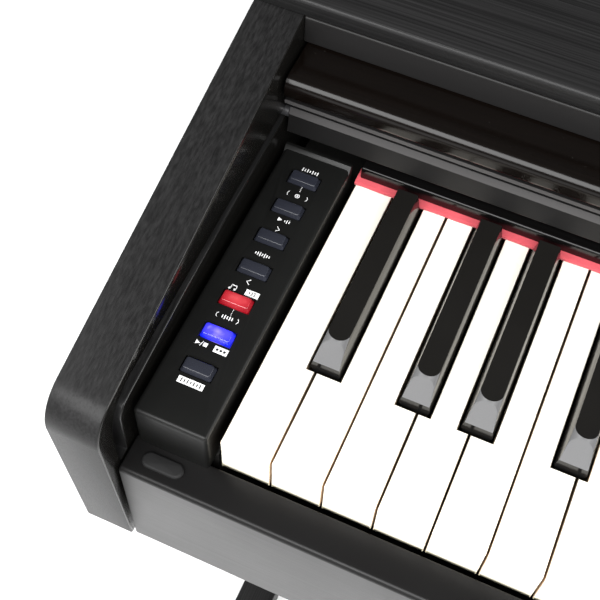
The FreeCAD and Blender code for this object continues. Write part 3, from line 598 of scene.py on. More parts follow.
class KeySizes(bpy.types.PropertyGroup):
    front_round: length("Front rounding", 0.0022, "Radius of a white key's front top edge")
    edge_round: length("Edge rounding", 0.0005, "Radius of a white key's other edges")
    base_band: length("Base band", 0.0026, "Height of the cream base under a white key")
    cap_rise: length("Cap rise", 0.012, "Height of a black key over the white ones")
    cap_band: length("Cap band", 0.005, "Height of a black key's upright front")
    cap_length: length("Cap length", 0.0983, "Front to back length of a black key's cap")
    cap_base: length("Cap base", 0.014, "Width of a black key's cap at its foot")
    cap_shoulder: length("Cap shoulder", 0.0124, "Width of the cap over its upright front")
    cap_top: length("Cap top", 0.0100, "Width of the cap's top")
    facet_run: length("Facet run", 0.0110, "Run of the sloped thumb facet")
    dome_side: length("Dome side", 0.0062, "Where the facet's dome starts at the sides")
    dome_middle: length("Dome middle", 0.0098, "Where the facet's dome ends in the middle")
    arc_side: length("Arc side", 0.0150, "Where the top's front arc starts at the sides")
    cap_round: length("Cap rounding", 0.0006, "Radius of a black key's edges")
    white: colour("White", (0.95, 0.905, 0.80), "White key tops")
    cream: colour("Cream", (0.62, 0.58, 0.42), "Base of the white keys")
    timber: colour("Sides", (0.80, 0.60, 0.40), "Sides of the white keys")
    black: colour("Black", (0.0060, 0.0056, 0.0050), "Black key tops")
    # Painted reflection: this grey stands in for the front light's reflection on the black keys'
    # thumb facets.
    facet: colour("Facet", (0.095, 0.095, 0.097), "Thumb facets of the black keys")


class CabinetSizes(bpy.types.PropertyGroup):
    board_round: length("Board rounding", 0.0010, "Radius of the boards' edges")
    trim_round: length("Trim rounding", 0.0005, "Radius of the cover's small edges")
    screw_step: length("Screw step", 0.240, "Distance between screws in the back panels")
    dark: colour("Dark grain", (0.0055, 0.0054, 0.0055), "Darkest part of the wood grain")
    light: colour("Light grain", (0.015, 0.0148, 0.0150), "Lightest part of the wood grain")
    cover_dark: colour("Cover", (0.0014, 0.0010, 0.0008), "Dark brown of the key cover")
    cover_light: colour("Cover grain", (0.0038, 0.0025, 0.0019), "Grain of the key cover")
    rail: colour("Rail", (0.0060, 0.0058, 0.0058), "Satin front rail and cover lip")


class PanelSizes(bpy.types.PropertyGroup):
    corner: length("Button corner", 0.0011, "Corner radius of a push button")
    draft: length("Button draft", 0.0008, "How far a cap's sides lean in")
    edge: length("Button edge", 0.0006, "Rounding of a push button's top edge")
    crown: length("Button crown", 0.00012, "Rise of a push button's middle")
    cap_wide: length("Button width", 0.0146, "Width of a push button's cap")
    cap_long: length("Button length", 0.0074, "Length of a push button's cap")
    film: length("Ink film", 0.00004, "Thickness of the printed marks")
    glow: FloatProperty(name="Glow", default=0.32, min=0.0,
                        description="Brightness of the lit buttons")
    ribs: IntProperty(name="Knob ribs", default=28, min=6,
                      description="Grip ribs round the volume knob")
    panel: colour("Panel", (0.0050, 0.0051, 0.0048), "Control panels")
    dark_button: colour("Button", (0.017, 0.0185, 0.026), "Unlit push buttons")
    red: colour("Red", (0.40, 0.022, 0.032), "Red lit button")
    blue: colour("Blue", (0.06, 0.05, 0.90), "Blue lit button")


class StageSizes(bpy.types.PropertyGroup):
    floor: length("Floor", 24.0, "Side of the floor")
    lens: FloatProperty(name="Lens", default=65.73, description="Focal length in millimetres")
    front_light: FloatProperty(name="Front light", default=2.75,
                               description="Radiance of the big front softbox")
    sky: FloatProperty(name="Sky", default=0.22, description="Strength of the soft surround")


# ---- keys

def islands(build):
    """The corners of each separate solid, in the order they are met."""
    seen = set()
    for start in build.verts:
        if start in seen:
            continue
        group, todo = [], [start]
        seen.add(start)
        while todo:
            corner = todo.pop()
            group.append(corner)
            for edge in corner.link_edges:
                other = edge.other_vert(corner)
                if other not in seen:
                    seen.add(other)
                    todo.append(other)
        yield group


def white_outlines(node):
    """Top outlines of a node's white keys, each run out to the true front edge."""
    low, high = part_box(node)
    build = joined_up(node)
    outlines = []
    for face in build.faces:
        flat = face.normal.z > 0.999 and face.calc_center_median().z > high.z - 0.2 * MM
        if flat and face.calc_area() > 0.001:
            outlines.append([(v.co.x, low.y if v.co.y < low.y + 2 * MM else v.co.y)
                             for v in face.verts])
    build.free()
    return outlines


def white_key_mesh(node, sizes):
    low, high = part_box(node)
    build = bmesh.new()
    weight = build.edges.layers.float.new("bevel_weight_edge")
    small = sizes.edge_round / sizes.front_round
    for outline in white_outlines(node):
        rings = [[Vector((x, y, z)) for x, y in outline]
                 for z in (low.z, low.z + sizes.base_band, high.z)]
        loops = ring_band(build, rings)
        top = loops[-1]
        at_front = [abs(corner.co.y - low.y) < 1e-6 for corner in top]
        for i, corner in enumerate(top):
            j = (i + 1) % len(top)
            across = at_front[i] and at_front[j]
            build.edges.get((corner, top[j]))[weight] = 1.0 if across else small
            if at_front[i]:
                for under, over in zip(loops, loops[1:]):
                    build.edges.get((under[i], over[i]))[weight] = small
    build.normal_update()
    for face in build.faces:
        centre = face.calc_center_median()
        if face.normal.z < 0.5 and face.normal.y > -0.5:
            face.material_index = 2
        elif centre.z < low.z + sizes.base_band:
            face.material_index = 1
    return bevelled(to_mesh(build, node), sizes.front_round, 6, by_weight=True)


# The second finish paints the front light's reflection on the cap into its grey base colour.
CAP, FACET_PAINTED_SHEEN, POLISHED = range(3)


def half_width(sizes, height):
    """Half the black cap's width at a height over the white keys."""
    share = height / sizes.cap_band
    if share < 1:
        return (sizes.cap_base + (sizes.cap_shoulder - sizes.cap_base) * share) / 2
    share = (height - sizes.cap_band) / (sizes.cap_rise - sizes.cap_band)
    return (sizes.cap_shoulder + (sizes.cap_top - sizes.cap_shoulder) * share) / 2


def black_cap(build, weight, middle, front, level, sizes):
    """A cap with a domed thumb facet that meets an arc at the front of its top."""
    columns = 9
    rise, band, run = sizes.cap_rise, sizes.cap_band, sizes.facet_run
    set_back, rim, ledge, lean = 0.5 * MM, 0.30 * MM, 0.7 * MM, 0.2 * MM
    slope = (rise - band) / (run - set_back)
    rows = [[] for _ in range(6)]
    for column in range(-columns, columns + 1):
        turn = math.pi / 2 * column / columns
        side, bow = math.sin(turn), math.cos(turn)
        dome = sizes.dome_side + (sizes.dome_middle - sizes.dome_side) * bow
        arc = sizes.arc_side + (sizes.dome_middle + ledge - sizes.arc_side) * bow
        lift = band + (dome - set_back) * slope
        for row, (y, z) in zip(rows, ((0, 0), (set_back, band), (dome, lift),
                                      (dome + rim, min(lift + rim, rise - 0.05 * MM)),
                                      (arc, rise), (sizes.cap_length - set_back, rise))):
            x = middle + side * half_width(sizes, z)
            row.append(build.verts.new((x, front + y, level + z)))
    for number, (near, far) in enumerate(zip(rows, rows[1:])):
        for i in range(2 * columns):
            face = build.faces.new((near[i], near[i + 1], far[i + 1], far[i]))
            # Painted highlight: the facet rows and the strips from the dome to the top's arc take
            # the lighter facet finish.
            face.material_index = (POLISHED, FACET_PAINTED_SHEEN, FACET_PAINTED_SHEEN, FACET_PAINTED_SHEEN, CAP)[number]
    back = front + sizes.cap_length
    corners, chains = {}, [(rows[1], 0.5), (rows[5], 1.0)]
    for end, sign in ((0, -1), (-1, 1)):
        shoulder = build.verts.new((middle + sign * half_width(sizes, band),
                                    back - lean, level + band))
        foot = build.verts.new((middle + sign * half_width(sizes, 0), back, level))
        corners[sign] = (foot, shoulder)
        lower = [rows[0][end], rows[1][end], shoulder, foot]
        upper = [rows[n][end] for n in range(1, 6)] + [shoulder]
        for loop in (lower, upper):
            build.faces.new(loop if sign < 0 else loop[::-1]).material_index = POLISHED
        chains.append(([rows[n][end] for n in range(6)] + [shoulder, foot], 1.0))
    for chain, size in chains:
        for pair in zip(chain, chain[1:]):
            build.edges.get(pair)[weight] = size
    left, right = corners[-1], corners[1]
    for loop in ((left[0], left[1], right[1], right[0]), [left[1]] + rows[5] + [right[1]],
                 rows[0][::-1] + [left[0], right[0]]):
        build.faces.new(loop).material_index = POLISHED


def black_key_mesh(node, sizes):
    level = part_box(node)[1].z - sizes.cap_rise
    source = joined_up(node)
    build = bmesh.new()
    weight = build.edges.layers.float.new("bevel_weight_edge")
    for group in islands(source):
        xs = [corner.co.x for corner in group]
        ys = [corner.co.y for corner in group]
        middle = (min(xs) + max(xs)) / 2
        black_cap(build, weight, middle, min(ys), level, sizes)
        stick = 6.3 * MM
        rings = [[Vector((middle + x * stick, y, z)) for x, y in
                  ((-1, min(ys) + MM), (1, min(ys) + MM), (1, max(ys)), (-1, max(ys)))]
                 for z in (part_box(node)[0].z, level - 0.01 * MM)]
        ring_band(build, rings, POLISHED)
    source.free()
    face_outwards(build)
    mesh = bevelled(to_mesh(build, node), sizes.cap_round, 3, by_weight=True)
    mesh.set_sharp_from_angle(angle=math.radians(12))
    return mesh


class PIANO_OT_white_keys(bpy.types.Operator):
    """Builds the white keys with rounded fronts, cream bases and timber sides"""
    bl_idname = "piano.white_keys"
    bl_label = "White keys"

    def execute(self, context):
        sizes = context.scene.piano_keys
        top = Finish("key_white", coat_weight=0.25, coat_roughness=0.08)
        cloud = top.noise([60] * 3, 3)
        sink = top.noise([700] * 3, 2)
        top.paint(shaded(sizes.white, 0.985), sizes.white, cloud)
        top.set("Roughness", 0.24 + cloud * 0.06)
        top.bump(sink, 0.004 * MM, 0.3)
        cream = moulded("key_cream", sizes.cream, 0.45)
        timber = wood("key_timber", 1, shaded(sizes.timber, 0.72), list(sizes.timber), 0.6)
        for node in NODES:
            if node.startswith("white_key"):
                stand_in(node, "_top", white_key_mesh(node, sizes), top.material, cream, timber,
                         slot="key_white")
        return {"FINISHED"}


class PIANO_OT_black_keys(bpy.types.Operator):
    """Builds the black keys with domed thumb facets and polished sides"""
    bl_idname = "piano.black_keys"
    bl_label = "Black keys"

    def execute(self, context):
        sizes = context.scene.piano_keys
        top = moulded("key_black_top", sizes.black, 0.46, grain=3400, depth=0.02,
                      specular_ior_level=0.13)
        # The facet finish is a painted reflection: its grey base colour stands in for the front
        # light's sheen on the black cap.
        facet = brushed("key_black_facet", sizes.facet, 1, 0.36, specular=0.2)
        polished = Finish("key_black_polished", specular_ior_level=0.22)
        wear = polished.noise((300, 40, 300), 3)
        polished.paint((0.004, 0.004, 0.004), (0.008, 0.008, 0.008), wear)
        polished.set("Roughness", 0.13 + wear * 0.08)
        for node in NODES:
            if node.startswith("black_key"):
                stand_in(node, "_cap", black_key_mesh(node, sizes), top, facet,
                         polished.material, slot="key_black")
        return {"FINISHED"}


# ---- cabinet

class PIANO_OT_cabinet(bpy.types.Operator):
    """Rounds the boards of the console and stand and gives them their grain"""
    bl_idname = "piano.cabinet"
    bl_label = "Cabinet and stand"

    def execute(self, context):
        sizes = context.scene.piano_cabinet
        dark, light = list(sizes.dark), list(sizes.light)
        lengthways = wood("wood_along_arm", 1, dark, light)
        across = wood("wood_across", 0, dark, light, 0.36)
        upright = wood("wood_upright", 2, dark, light)
        gloss = lacquer("arm_inner_gloss", (0.0026, 0.0026, 0.0022), (0.006, 0.0055, 0.005),
                        0.16, 0.35, 0, 1)
        rail = brushed("rail_satin", sizes.rail, 0, 0.34, specular=0.2)
        raw = moulded("board_laminate", (0.010, 0.0095, 0.009), 0.6, grain=1500, depth=0.05)
        fascia = brushed("fascia_satin", (0.0115, 0.011, 0.011), 0, 0.42, specular=0.2)
        edge = sizes.board_round
        for node, inward in (("left_arm_board", 1), ("right_arm_board", -1)):
            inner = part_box(node)[inward > 0].x
            softened(node, edge, lengthways, gloss, slot="wood_black",
                     pick=lambda centre, normal, inward=inward, inner=inner:
                     int(normal.x * inward > 0.6 and abs(centre.x - inner) < MM))
        for rounding, finish, slot, nodes in ((1, upright, "wood_black",
                ("left_leg_panel", "right_leg_panel")), (1.5, lengthways, "wood_black",
                ("left_foot", "right_foot")), (2.4, across, "wood_black", ("top_board",)),
                (1, across, "wood_black", ("stand_back_panel", "pedal_beam")),
                (1, fascia, "rail_satin", ("fascia_board",)), (1, rail, "rail_satin",
                ("front_rail",)), (0.4, raw, "board_raw", ("key_bed", "console_back_panel"))):
            for node in nodes:
                softened(node, rounding * edge, finish, slot=slot)
        return {"FINISHED"}


class PIANO_OT_cover(bpy.types.Operator):
    """Finishes the sliding key cover, its rounded nose, lip and guide pins"""
    bl_idname = "piano.cover"
    bl_label = "Key cover"

    def execute(self, context):
        sizes = context.scene.piano_cabinet
        deep = lacquer("cover_gloss", sizes.cover_dark, sizes.cover_light)
        nose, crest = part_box("cover_nose_bar")
        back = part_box("cover_board")
        mesh = moulding("cover_top", [(nose.y, crest.z, 6.0 * MM), (nose.y, nose.z, 4.5 * MM),
            (crest.y, nose.z, 0), (crest.y, back[0].z, 0), (back[1].y, back[0].z, 0.5 * MM),
            (back[1].y, back[1].z, 0.5 * MM)], back[0].x, back[1].x)
        show("cover_top", mesh, HOME["cover_board"], deep, slot="cover_gloss",
             stands_for=("cover_board", "cover_nose_bar"))
        lip = brushed("lip_satin", shaded(sizes.rail, 1.3), 0, 0.38, specular=0.2)
        # Painted reflection: the lip's strip and facet get this much lighter satin, standing in
        # for the front light's reflection on them.
        band = brushed("lip_bands", shaded(sizes.rail, 9.0), 0, 0.45, specular=0.15)
        low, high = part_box("cover_lip")
        face = low.y + 3.5 * MM
        ledge, facet = high.z - 2.5 * MM, low.z + 10.3 * MM
        mesh = moulding("cover_lip_bar", [(face, low.z, 0.5 * MM), (high.y, low.z, 0.3 * MM),
            (high.y, high.z, 0), (low.y, high.z, 0), (low.y, ledge, 0.3 * MM),
            (face + 2 * MM, ledge, 0), (face + 5.2 * MM, ledge - 3 * MM, 0.3 * MM),
            (face + 5.2 * MM, facet + 3.8 * MM, 0), (face + 3.5 * MM, facet + 3.5 * MM, 0.2 * MM),
            (face + 2 * MM, facet, 0.2 * MM)], low.x, high.x)
        # Faces on the strip and on the facet take the lighter finish, the painted reflection.
        for side in mesh.polygons:
            middle, normal = side.center, side.normal
            sheen_on_strip = middle.y < low.y + 0.4 * MM
            sheen_on_facet = facet + 0.2 * MM < middle.z < facet + 3.6 * MM and normal.y < -0.5
            side.material_index = int((sheen_on_strip or sheen_on_facet) and abs(normal.x) < 0.5)
        stand_in("cover_lip", "_bar", mesh, lip, band, slot="rail_satin")
        dress("cover_pins", moulded("pin_nylon", (0.03, 0.03, 0.032), 0.35))
        return {"FINISHED"}


class PIANO_OT_trim(bpy.types.Operator):
    """Makes the felt strip with its fibres, the name rail, the rubber pads and key frame"""
    bl_idname = "piano.trim"
    bl_label = "Felt, name rail and pads"

    def execute(self, context):
        low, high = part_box("key_felt")
        build = bmesh.new()
        columns, r = 240, 0.8 * MM
        rings = []
        for column in range(columns + 1):
            x = low.x + (high.x - low.x) * column / columns
            wave = 0.10 * MM * math.sin(column * 1.7) + 0.07 * MM * math.sin(column * 0.61)
            front = low.y + wave
            curve = ((0, r), (0.3 * r, 0.3 * r), (r, 0))
            section = [(front + inward, low.z + up) for inward, up in curve]
            section += [(high.y, low.z), (high.y, high.z)]
            section += [(front + inward, high.z - up) for inward, up in curve[::-1]]
            rings.append([Vector((x, y, z)) for y, z in section])
        ring_band(build, rings)
        face_outwards(build)
        felt = to_mesh(build, "key_felt", sharp=50)
        cloth = felt_cloth("felt_red", (0.54, 0.080, 0.098))
        visible = bmesh.new()
        visible.from_mesh(felt)
        hidden = [face for face in visible.faces if face.calc_center_median().y > low.y + 1.5 * MM]
        bmesh.ops.delete(visible, geom=hidden, context="FACES")
        fibres = pile_tree().grow(to_mesh(visible, "felt_edge"), Density=2.6e6,
                                  Length=0.75 * MM, Width=0.03 * MM, Seed=11, Finish=cloth)
        strip = stand_in("key_felt", "_strip", felt, cloth, slot="felt_red")
        fuzz = show("key_felt_fibres", fibres, HOME["key_felt"], cloth, slot="felt_red")
        gloss = lacquer("name_gloss", (0.0015, 0.0014, 0.0014), (0.0035, 0.0033, 0.0033), 0.14,
                        0.24)
        softened("name_rail", 0.7 * MM, gloss, slot="gloss_black")
        pads = bmesh.new()
        low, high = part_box("rail_bumpers")
        half_long, half_wide = 9.75 * MM, (high.y - low.y) / 2
        for x in (low.x + half_long, high.x - half_long):
            slab(pads, (x, (low.y + high.y) / 2), half_long, half_wide, low.z, high.z,
                 half_wide, 1.3 * MM, 0.3 * MM, steps=8)
        show("rail_pads", to_mesh(pads, "rail_pads"), HOME["rail_bumpers"],
             rubber("rubber_grey", (0.0030, 0.0030, 0.0031)), slot="rubber",
             stands_for=("rail_bumpers",))
        softened("key_frame", 0.4 * MM, moulded("frame_plastic", (0.006, 0.0055, 0.005), 0.6),
                 slot="frame_plastic")
        return {"FINISHED"}


# ---- control panels

def strip(points, width):
    """A polyline of the given width as one outline."""
    left, right = [], []
    for i, (x, y) in enumerate(points):
        before = points[max(i - 1, 0)]
        after = points[min(i + 1, len(points) - 1)]
        dx, dy = after[0] - before[0], after[1] - before[1]
        scale = width / 2 / math.hypot(dx, dy)
        left.append((x - dy * scale, y + dx * scale))
        right.append((x + dy * scale, y - dx * scale))
    return right + left[::-1]


def arc(x, y, radius, start, end, width=0.35, steps=10):
    turns = [math.radians(start + (end - start) * i / steps) for i in range(steps + 1)]
    return strip([(x + radius * math.cos(turn), y + radius * math.sin(turn))
                  for turn in turns], width)


def bars(heights, step, width=0.45, x=0.0):
    """Upright bars side by side, centred on x."""
    start = x - step * (len(heights) - 1) / 2
    return [slab_outline((start + step * i, 0), width / 2, height / 2, 0.1, 2)
            for i, height in enumerate(heights)]


def brackets(half):
    return [arc(-half, 0, 1.6, 130, 230, 0.3), arc(half, 0, 1.6, -50, 50, 0.3)]


def ring(radius):
    return [arc(0, 0, radius, 0, 180), arc(0, 0, radius, 180, 360)]


def dot(x, y, radius):
    return slab_outline((x, y), radius, radius, radius * 0.99, 4)


def note(x):
    return [dot(x, -0.8, 0.55), strip([(x + 0.45, -0.8), (x + 0.45, 1.3)], 0.28)]


def tag(half):
    return [slab_outline((0, 0), half, 1.6, 0.15, 2)]


def chevron(side):
    return [strip([(-0.8 * side, 1.4), (0.8 * side, 0), (-0.8 * side, -1.4)], 0.4)]


ARROW = [(-2.6, -1.1), (-0.5, 0), (-2.6, 1.1)]


MARKS = {
    # button: marks as (across, behind the button's middle, white shapes, dark shapes)
    "metronome": [(0.6, 6.1, bars((2.1, 1.4, 2.1, 1.4, 2.1, 1.4, 2.1), 1.25, 0.5), [])],
    "record": [(0.8, 8.7, brackets(3.4) + ring(1.0) + [dot(0, 0, 0.45)], [])],
    "next": [(0.6, 11.6, [ARROW] + bars((1, 1.9, 1.4), 1.1,
                                                                        x=1.9), []),
             (0.4, 6.0, chevron(1), [])],
    "previous": [(0.0, 8.7, bars((1.2, 1.8, 2.2, 1.4, 2.2, 1.6, 1.2), 1.1, 0.5), []),
                 (0.4, -7.0, chevron(-1), [])],
    "reverb": [(-4.0, 6.0, note(-1.9) + note(0.6)
                + [strip([(-1.45, 1.2), (1.05, 1.2)], 0.45)], []),
               (4.7, 6.2, tag(3.2),
                [arc(-1.9, 0, 0.7, -60, 60, 0.4), arc(-1.1, 0, 1.1, -55, 55, 0.4),
                 arc(-0.2, 0, 1.5, -50, 50, 0.4)]),
               (0.0, -9.2, brackets(3.6) + bars((1.6, 2.1, 1.6, 2.1, 1.6), 1.15, 0.5), [])],
    "chord": [(-4.6, -6.8, [ARROW,
                            strip([(-0.3, -1.3), (0.6, 1.3)], 0.35),
                            slab_outline((2.0, 0), 0.95, 0.95, 0.1, 2)], []),
              (4.7, -6.8, tag(3.2),
               [dot(-1.7, 0, 0.62), dot(0, 0, 0.62), dot(1.7, 0, 0.62)])],
    "function": [(0.0, -7.4, tag(6.0),
                  bars((1.9, 1.3, 1.9, 1.3, 1.9, 1.3, 1.9), 1.45, 0.5))],
}


BUTTON_RISE = 2.4 * MM
PANEL_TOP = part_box("metronome_button")[1].z - BUTTON_RISE


class PIANO_OT_panels(bpy.types.Operator):
    """Finishes the control panels and prints their marks"""
    bl_idname = "piano.panels"
    bl_label = "Control panels"

    def execute(self, context):
        sizes = context.scene.piano_panel
        finish = moulded("panel_plastic", sizes.panel, 0.40, grain=2400, depth=0.03,
                         specular_ior_level=0.22)
        for node in ("left_control_panel", "right_control_panel"):
            softened(node, 0.35 * MM, finish, slot="panel_plastic")
        left = HOME["left_control_panel"]
        white = ink("ink_white", (0.82, 0.82, 0.82))
        dark = ink("ink_dark", (0.02, 0.02, 0.02))
        marks = bmesh.new()
        for word, labels in MARKS.items():
            middle = middle_of(word + "_button")
            for across, behind, bright, deep in labels:
                x, y = middle.x + across * MM, middle.y + behind * MM
                for shapes, film, finish_index in ((bright, 1, 0), (deep, 2, 1)):
                    for shape in shapes:
                        flat_shape(marks, [(x + a * MM, y + b * MM) for a, b in shape],
                                   PANEL_TOP, film * sizes.film, finish_index)
        show("panel_marks", to_mesh(marks, "panel_marks", smooth=False), left, white, dark,
             slot="panel_plastic")
        tick = bmesh.new()
        flat_shape(tick, slab_outline((0, 0), 0.14 * MM, 0.25 * MM, 0.1 * MM, 2), 0, sizes.film)
        tick = spare("leader_dot", tick)
        rows = row_tree()
        x = middle_of("record_button").x + 0.8 * MM
        for name, y in (("upper", middle_of("record_button").y + 13.0 * MM),
                        ("lower", middle_of("chord_button").y + 12.6 * MM)):
            dots = rows.grow(Start=(x, y - 1.3 * MM, PANEL_TOP), End=(x, y + 1.3 * MM, PANEL_TOP),
                             Count=4, Piece=tick, Finish=white)
            show("leader_" + name, dots, left, white, slot="panel_plastic")
        bpy.data.objects.remove(tick)
        right = bmesh.new()
        power = middle_of("power_button")
        for shape in ring(1.3) + [strip([(0, 0.6), (0, 1.9)], 0.4)]:
            flat_shape(right, [(power.x + a * MM, power.y + (b + 7.0) * MM) for a, b in shape],
                       PANEL_TOP, sizes.film)
        knob = middle_of("volume_knob")
        for turn in range(-140, 141, 28):
            a = math.radians(90 - turn)
            points = [(knob.x + reach * MM * math.cos(a), knob.y + reach * MM * math.sin(a))
                      for reach in (8.6, 10.2)]
            flat_shape(right, strip(points, 0.35 * MM), PANEL_TOP, sizes.film)
        show("right_panel_marks", to_mesh(right, "right_panel_marks", smooth=False),
             HOME["right_control_panel"], white, slot="panel_plastic")
        return {"FINISHED"}


class PIANO_OT_buttons(bpy.types.Operator):
    """Moulds the push buttons, lit and unlit, and the ribbed volume knob"""
    bl_idname = "piano.buttons"
    bl_label = "Buttons and knob"

    def execute(self, context):
        sizes = context.scene.piano_panel
        plain = moulded("button_dark", sizes.dark_button, 0.26, depth=0.01, specular_ior_level=0.4)
        red = lit_cap("button_red", middle_of("reverb_button"), (0.20, 0.003, 0.008),
                      list(sizes.red), (0.80, 0.20, 0.20), sizes.glow)
        blue = lit_cap("button_blue", middle_of("chord_button"), (0.004, 0.010, 0.42),
                       list(sizes.blue), (0.62, 0.50, 1.0), 2.2 * sizes.glow)
        sunk, plate = 0.4 * MM, 1.2 * MM
        for word in list(MARKS) + ["power"]:
            node = word + "_button"
            low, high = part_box(node)
            middle = middle_of(node)
            build = bmesh.new()
            slab(build, middle, sizes.cap_wide / 2 - sizes.draft, sizes.cap_long / 2 - sizes.draft,
                PANEL_TOP - sunk, high.z, sizes.corner, sizes.edge, sizes.crown, draft=sizes.draft)
            slab(build, middle, (high.x - low.x) / 2, (high.y - low.y) / 2, low.z,
                 low.z + plate, 0.8 * MM, 0.2 * MM)
            finish, slot = {"reverb": (red, "button_red"), "chord": (blue, "button_blue")}.get(
                word, (plain, "button_dark"))
            stand_in(node, "_cap", to_mesh(build, node, sharp=40), finish, slot=slot)
        low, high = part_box("volume_knob")
        centre = middle_of("volume_knob")
        radius = (high.x - low.x) / 2
        build = bmesh.new()
        foot = PANEL_TOP + 0.4 * MM
        lathe(build, (centre.x, centre.y, 0), [
            (2.6 * MM, low.z), (2.6 * MM, foot), (radius - 0.8 * MM, foot),
            (radius - 0.6 * MM, foot + 0.4 * MM), (radius - 0.9 * MM, high.z - 1.0 * MM),
            (radius - 1.3 * MM, high.z - 0.3 * MM), (radius - 2.2 * MM, high.z),
            (radius - 3.2 * MM, high.z - 0.25 * MM), (0.5 * MM, high.z - 0.45 * MM)], 56)
        body = moulded("knob_plastic", (0.018, 0.018, 0.020), 0.38)
        stand_in("volume_knob", "_cap", to_mesh(build, "volume_knob", sharp=35), body,
                 slot="panel_plastic")
        tall = high.z - foot - 1.6 * MM
        ribs = rib_tree().grow(Centre=(centre.x, centre.y, foot + 0.4 * MM + tall / 2),
            Radius=radius - 0.55 * MM, Height=tall, Count=sizes.ribs, Width=0.5 * MM, Finish=body)
        show("volume_knob_ribs", ribs, HOME["volume_knob"], body, slot="panel_plastic")
        pointer = bmesh.new()
        slab(pointer, (centre.x, centre.y + radius * 0.55), 0.5 * MM, radius * 0.24,
             high.z - 0.5 * MM, high.z, 0.3 * MM, 0.1 * MM)
        show("volume_pointer", to_mesh(pointer, "volume_pointer"), HOME["volume_knob"],
             ink("pointer_white", (0.8, 0.8, 0.8)), slot="panel_plastic")
        return {"FINISHED"}


# ---- music rest, inner parts

REST_SLOT = next(part["material_slot"] for part in frame["record"]["subparts"]
                 if part["node"] == "music_rest")


class PIANO_OT_music_rest(bpy.types.Operator):
    """Finishes the folding music rest and the ledge that holds its pins"""
    bl_idname = "piano.music_rest"
    bl_label = "Music rest"

    def execute(self, context):
        gloss = lacquer("rest_gloss", (0.010, 0.009, 0.009), (0.018, 0.016, 0.015), 0.14)
        softened("music_rest", 1.2 * MM, gloss, slot=REST_SLOT)
        softened("music_ledge", 1.2 * MM, gloss, slot="gloss_black")
        return {"FINISHED"}


def screw_head(radius, tall):
    """A pan head with a cross recess, its head downwards at the origin."""
    build = bmesh.new()
    lathe(build, (0, 0, 0), [(radius, 0), (radius, -0.25 * tall), (0.86 * radius, -0.7 * tall),
                             (0.55 * radius, -0.95 * tall), (0.1 * radius, -tall)], 20)
    arm, half = 0.62 * radius, 0.12 * radius
    cross = [(half, arm), (-half, arm), (-half, half), (-arm, half), (-arm, -half), (-half, -half),
        (-half, -arm), (half, -arm), (half, -half), (arm, -half), (arm, half), (half, half)]
    flat_shape(build, cross, -1.02 * tall, 0.3 * tall, 1)
    return build


class PIANO_OT_screws(bpy.types.Operator):
    """Sets the screws under the key bed and in the back panels"""
    bl_idname = "piano.screws"
    bl_label = "Screws"

    def execute(self, context):
        sizes = context.scene.piano_cabinet
        steel = brushed("screw_steel", (0.42, 0.42, 0.44), 0, 0.30, metallic=1.0)
        rows = row_tree()
        low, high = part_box("bed_screws")
        radius, tall = 4.5 * MM, 2.2 * MM
        head = spare("screw", screw_head(radius, tall))
        for number, y in enumerate((low.y + radius, high.y - radius)):
            mesh = rows.grow(Start=(low.x + radius, y, low.z + tall),
                End=(high.x - radius, y, low.z + tall), Count=5, Piece=head, Finish=steel)
            show("bed_screw_row_%d" % number, mesh, HOME["bed_screws"], steel,
                 slot="screw_steel", stands_for=() if number else ("bed_screws",))
        small = spare("panel_screw", screw_head(3.4 * MM, 1.4 * MM))
        small.data.transform(Matrix.Rotation(math.pi / 2, 4, "X"))
        inset = 9 * MM
        for node in ("console_back_panel", "stand_back_panel"):
            low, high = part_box(node)
            count = 1 + int((high.x - low.x - 2 * inset) / sizes.screw_step)
            for edge, z in (("lower", low.z + inset), ("upper", high.z - inset)):
                mesh = rows.grow(Start=(low.x + inset, high.y, z), End=(high.x - inset, high.y, z),
                                 Count=count, Piece=small, Finish=steel)
                show("%s_screws_%s" % (node, edge), mesh, HOME[node], steel, slot="screw_steel")
        bpy.data.objects.remove(head)
        bpy.data.objects.remove(small)
        return {"FINISHED"}


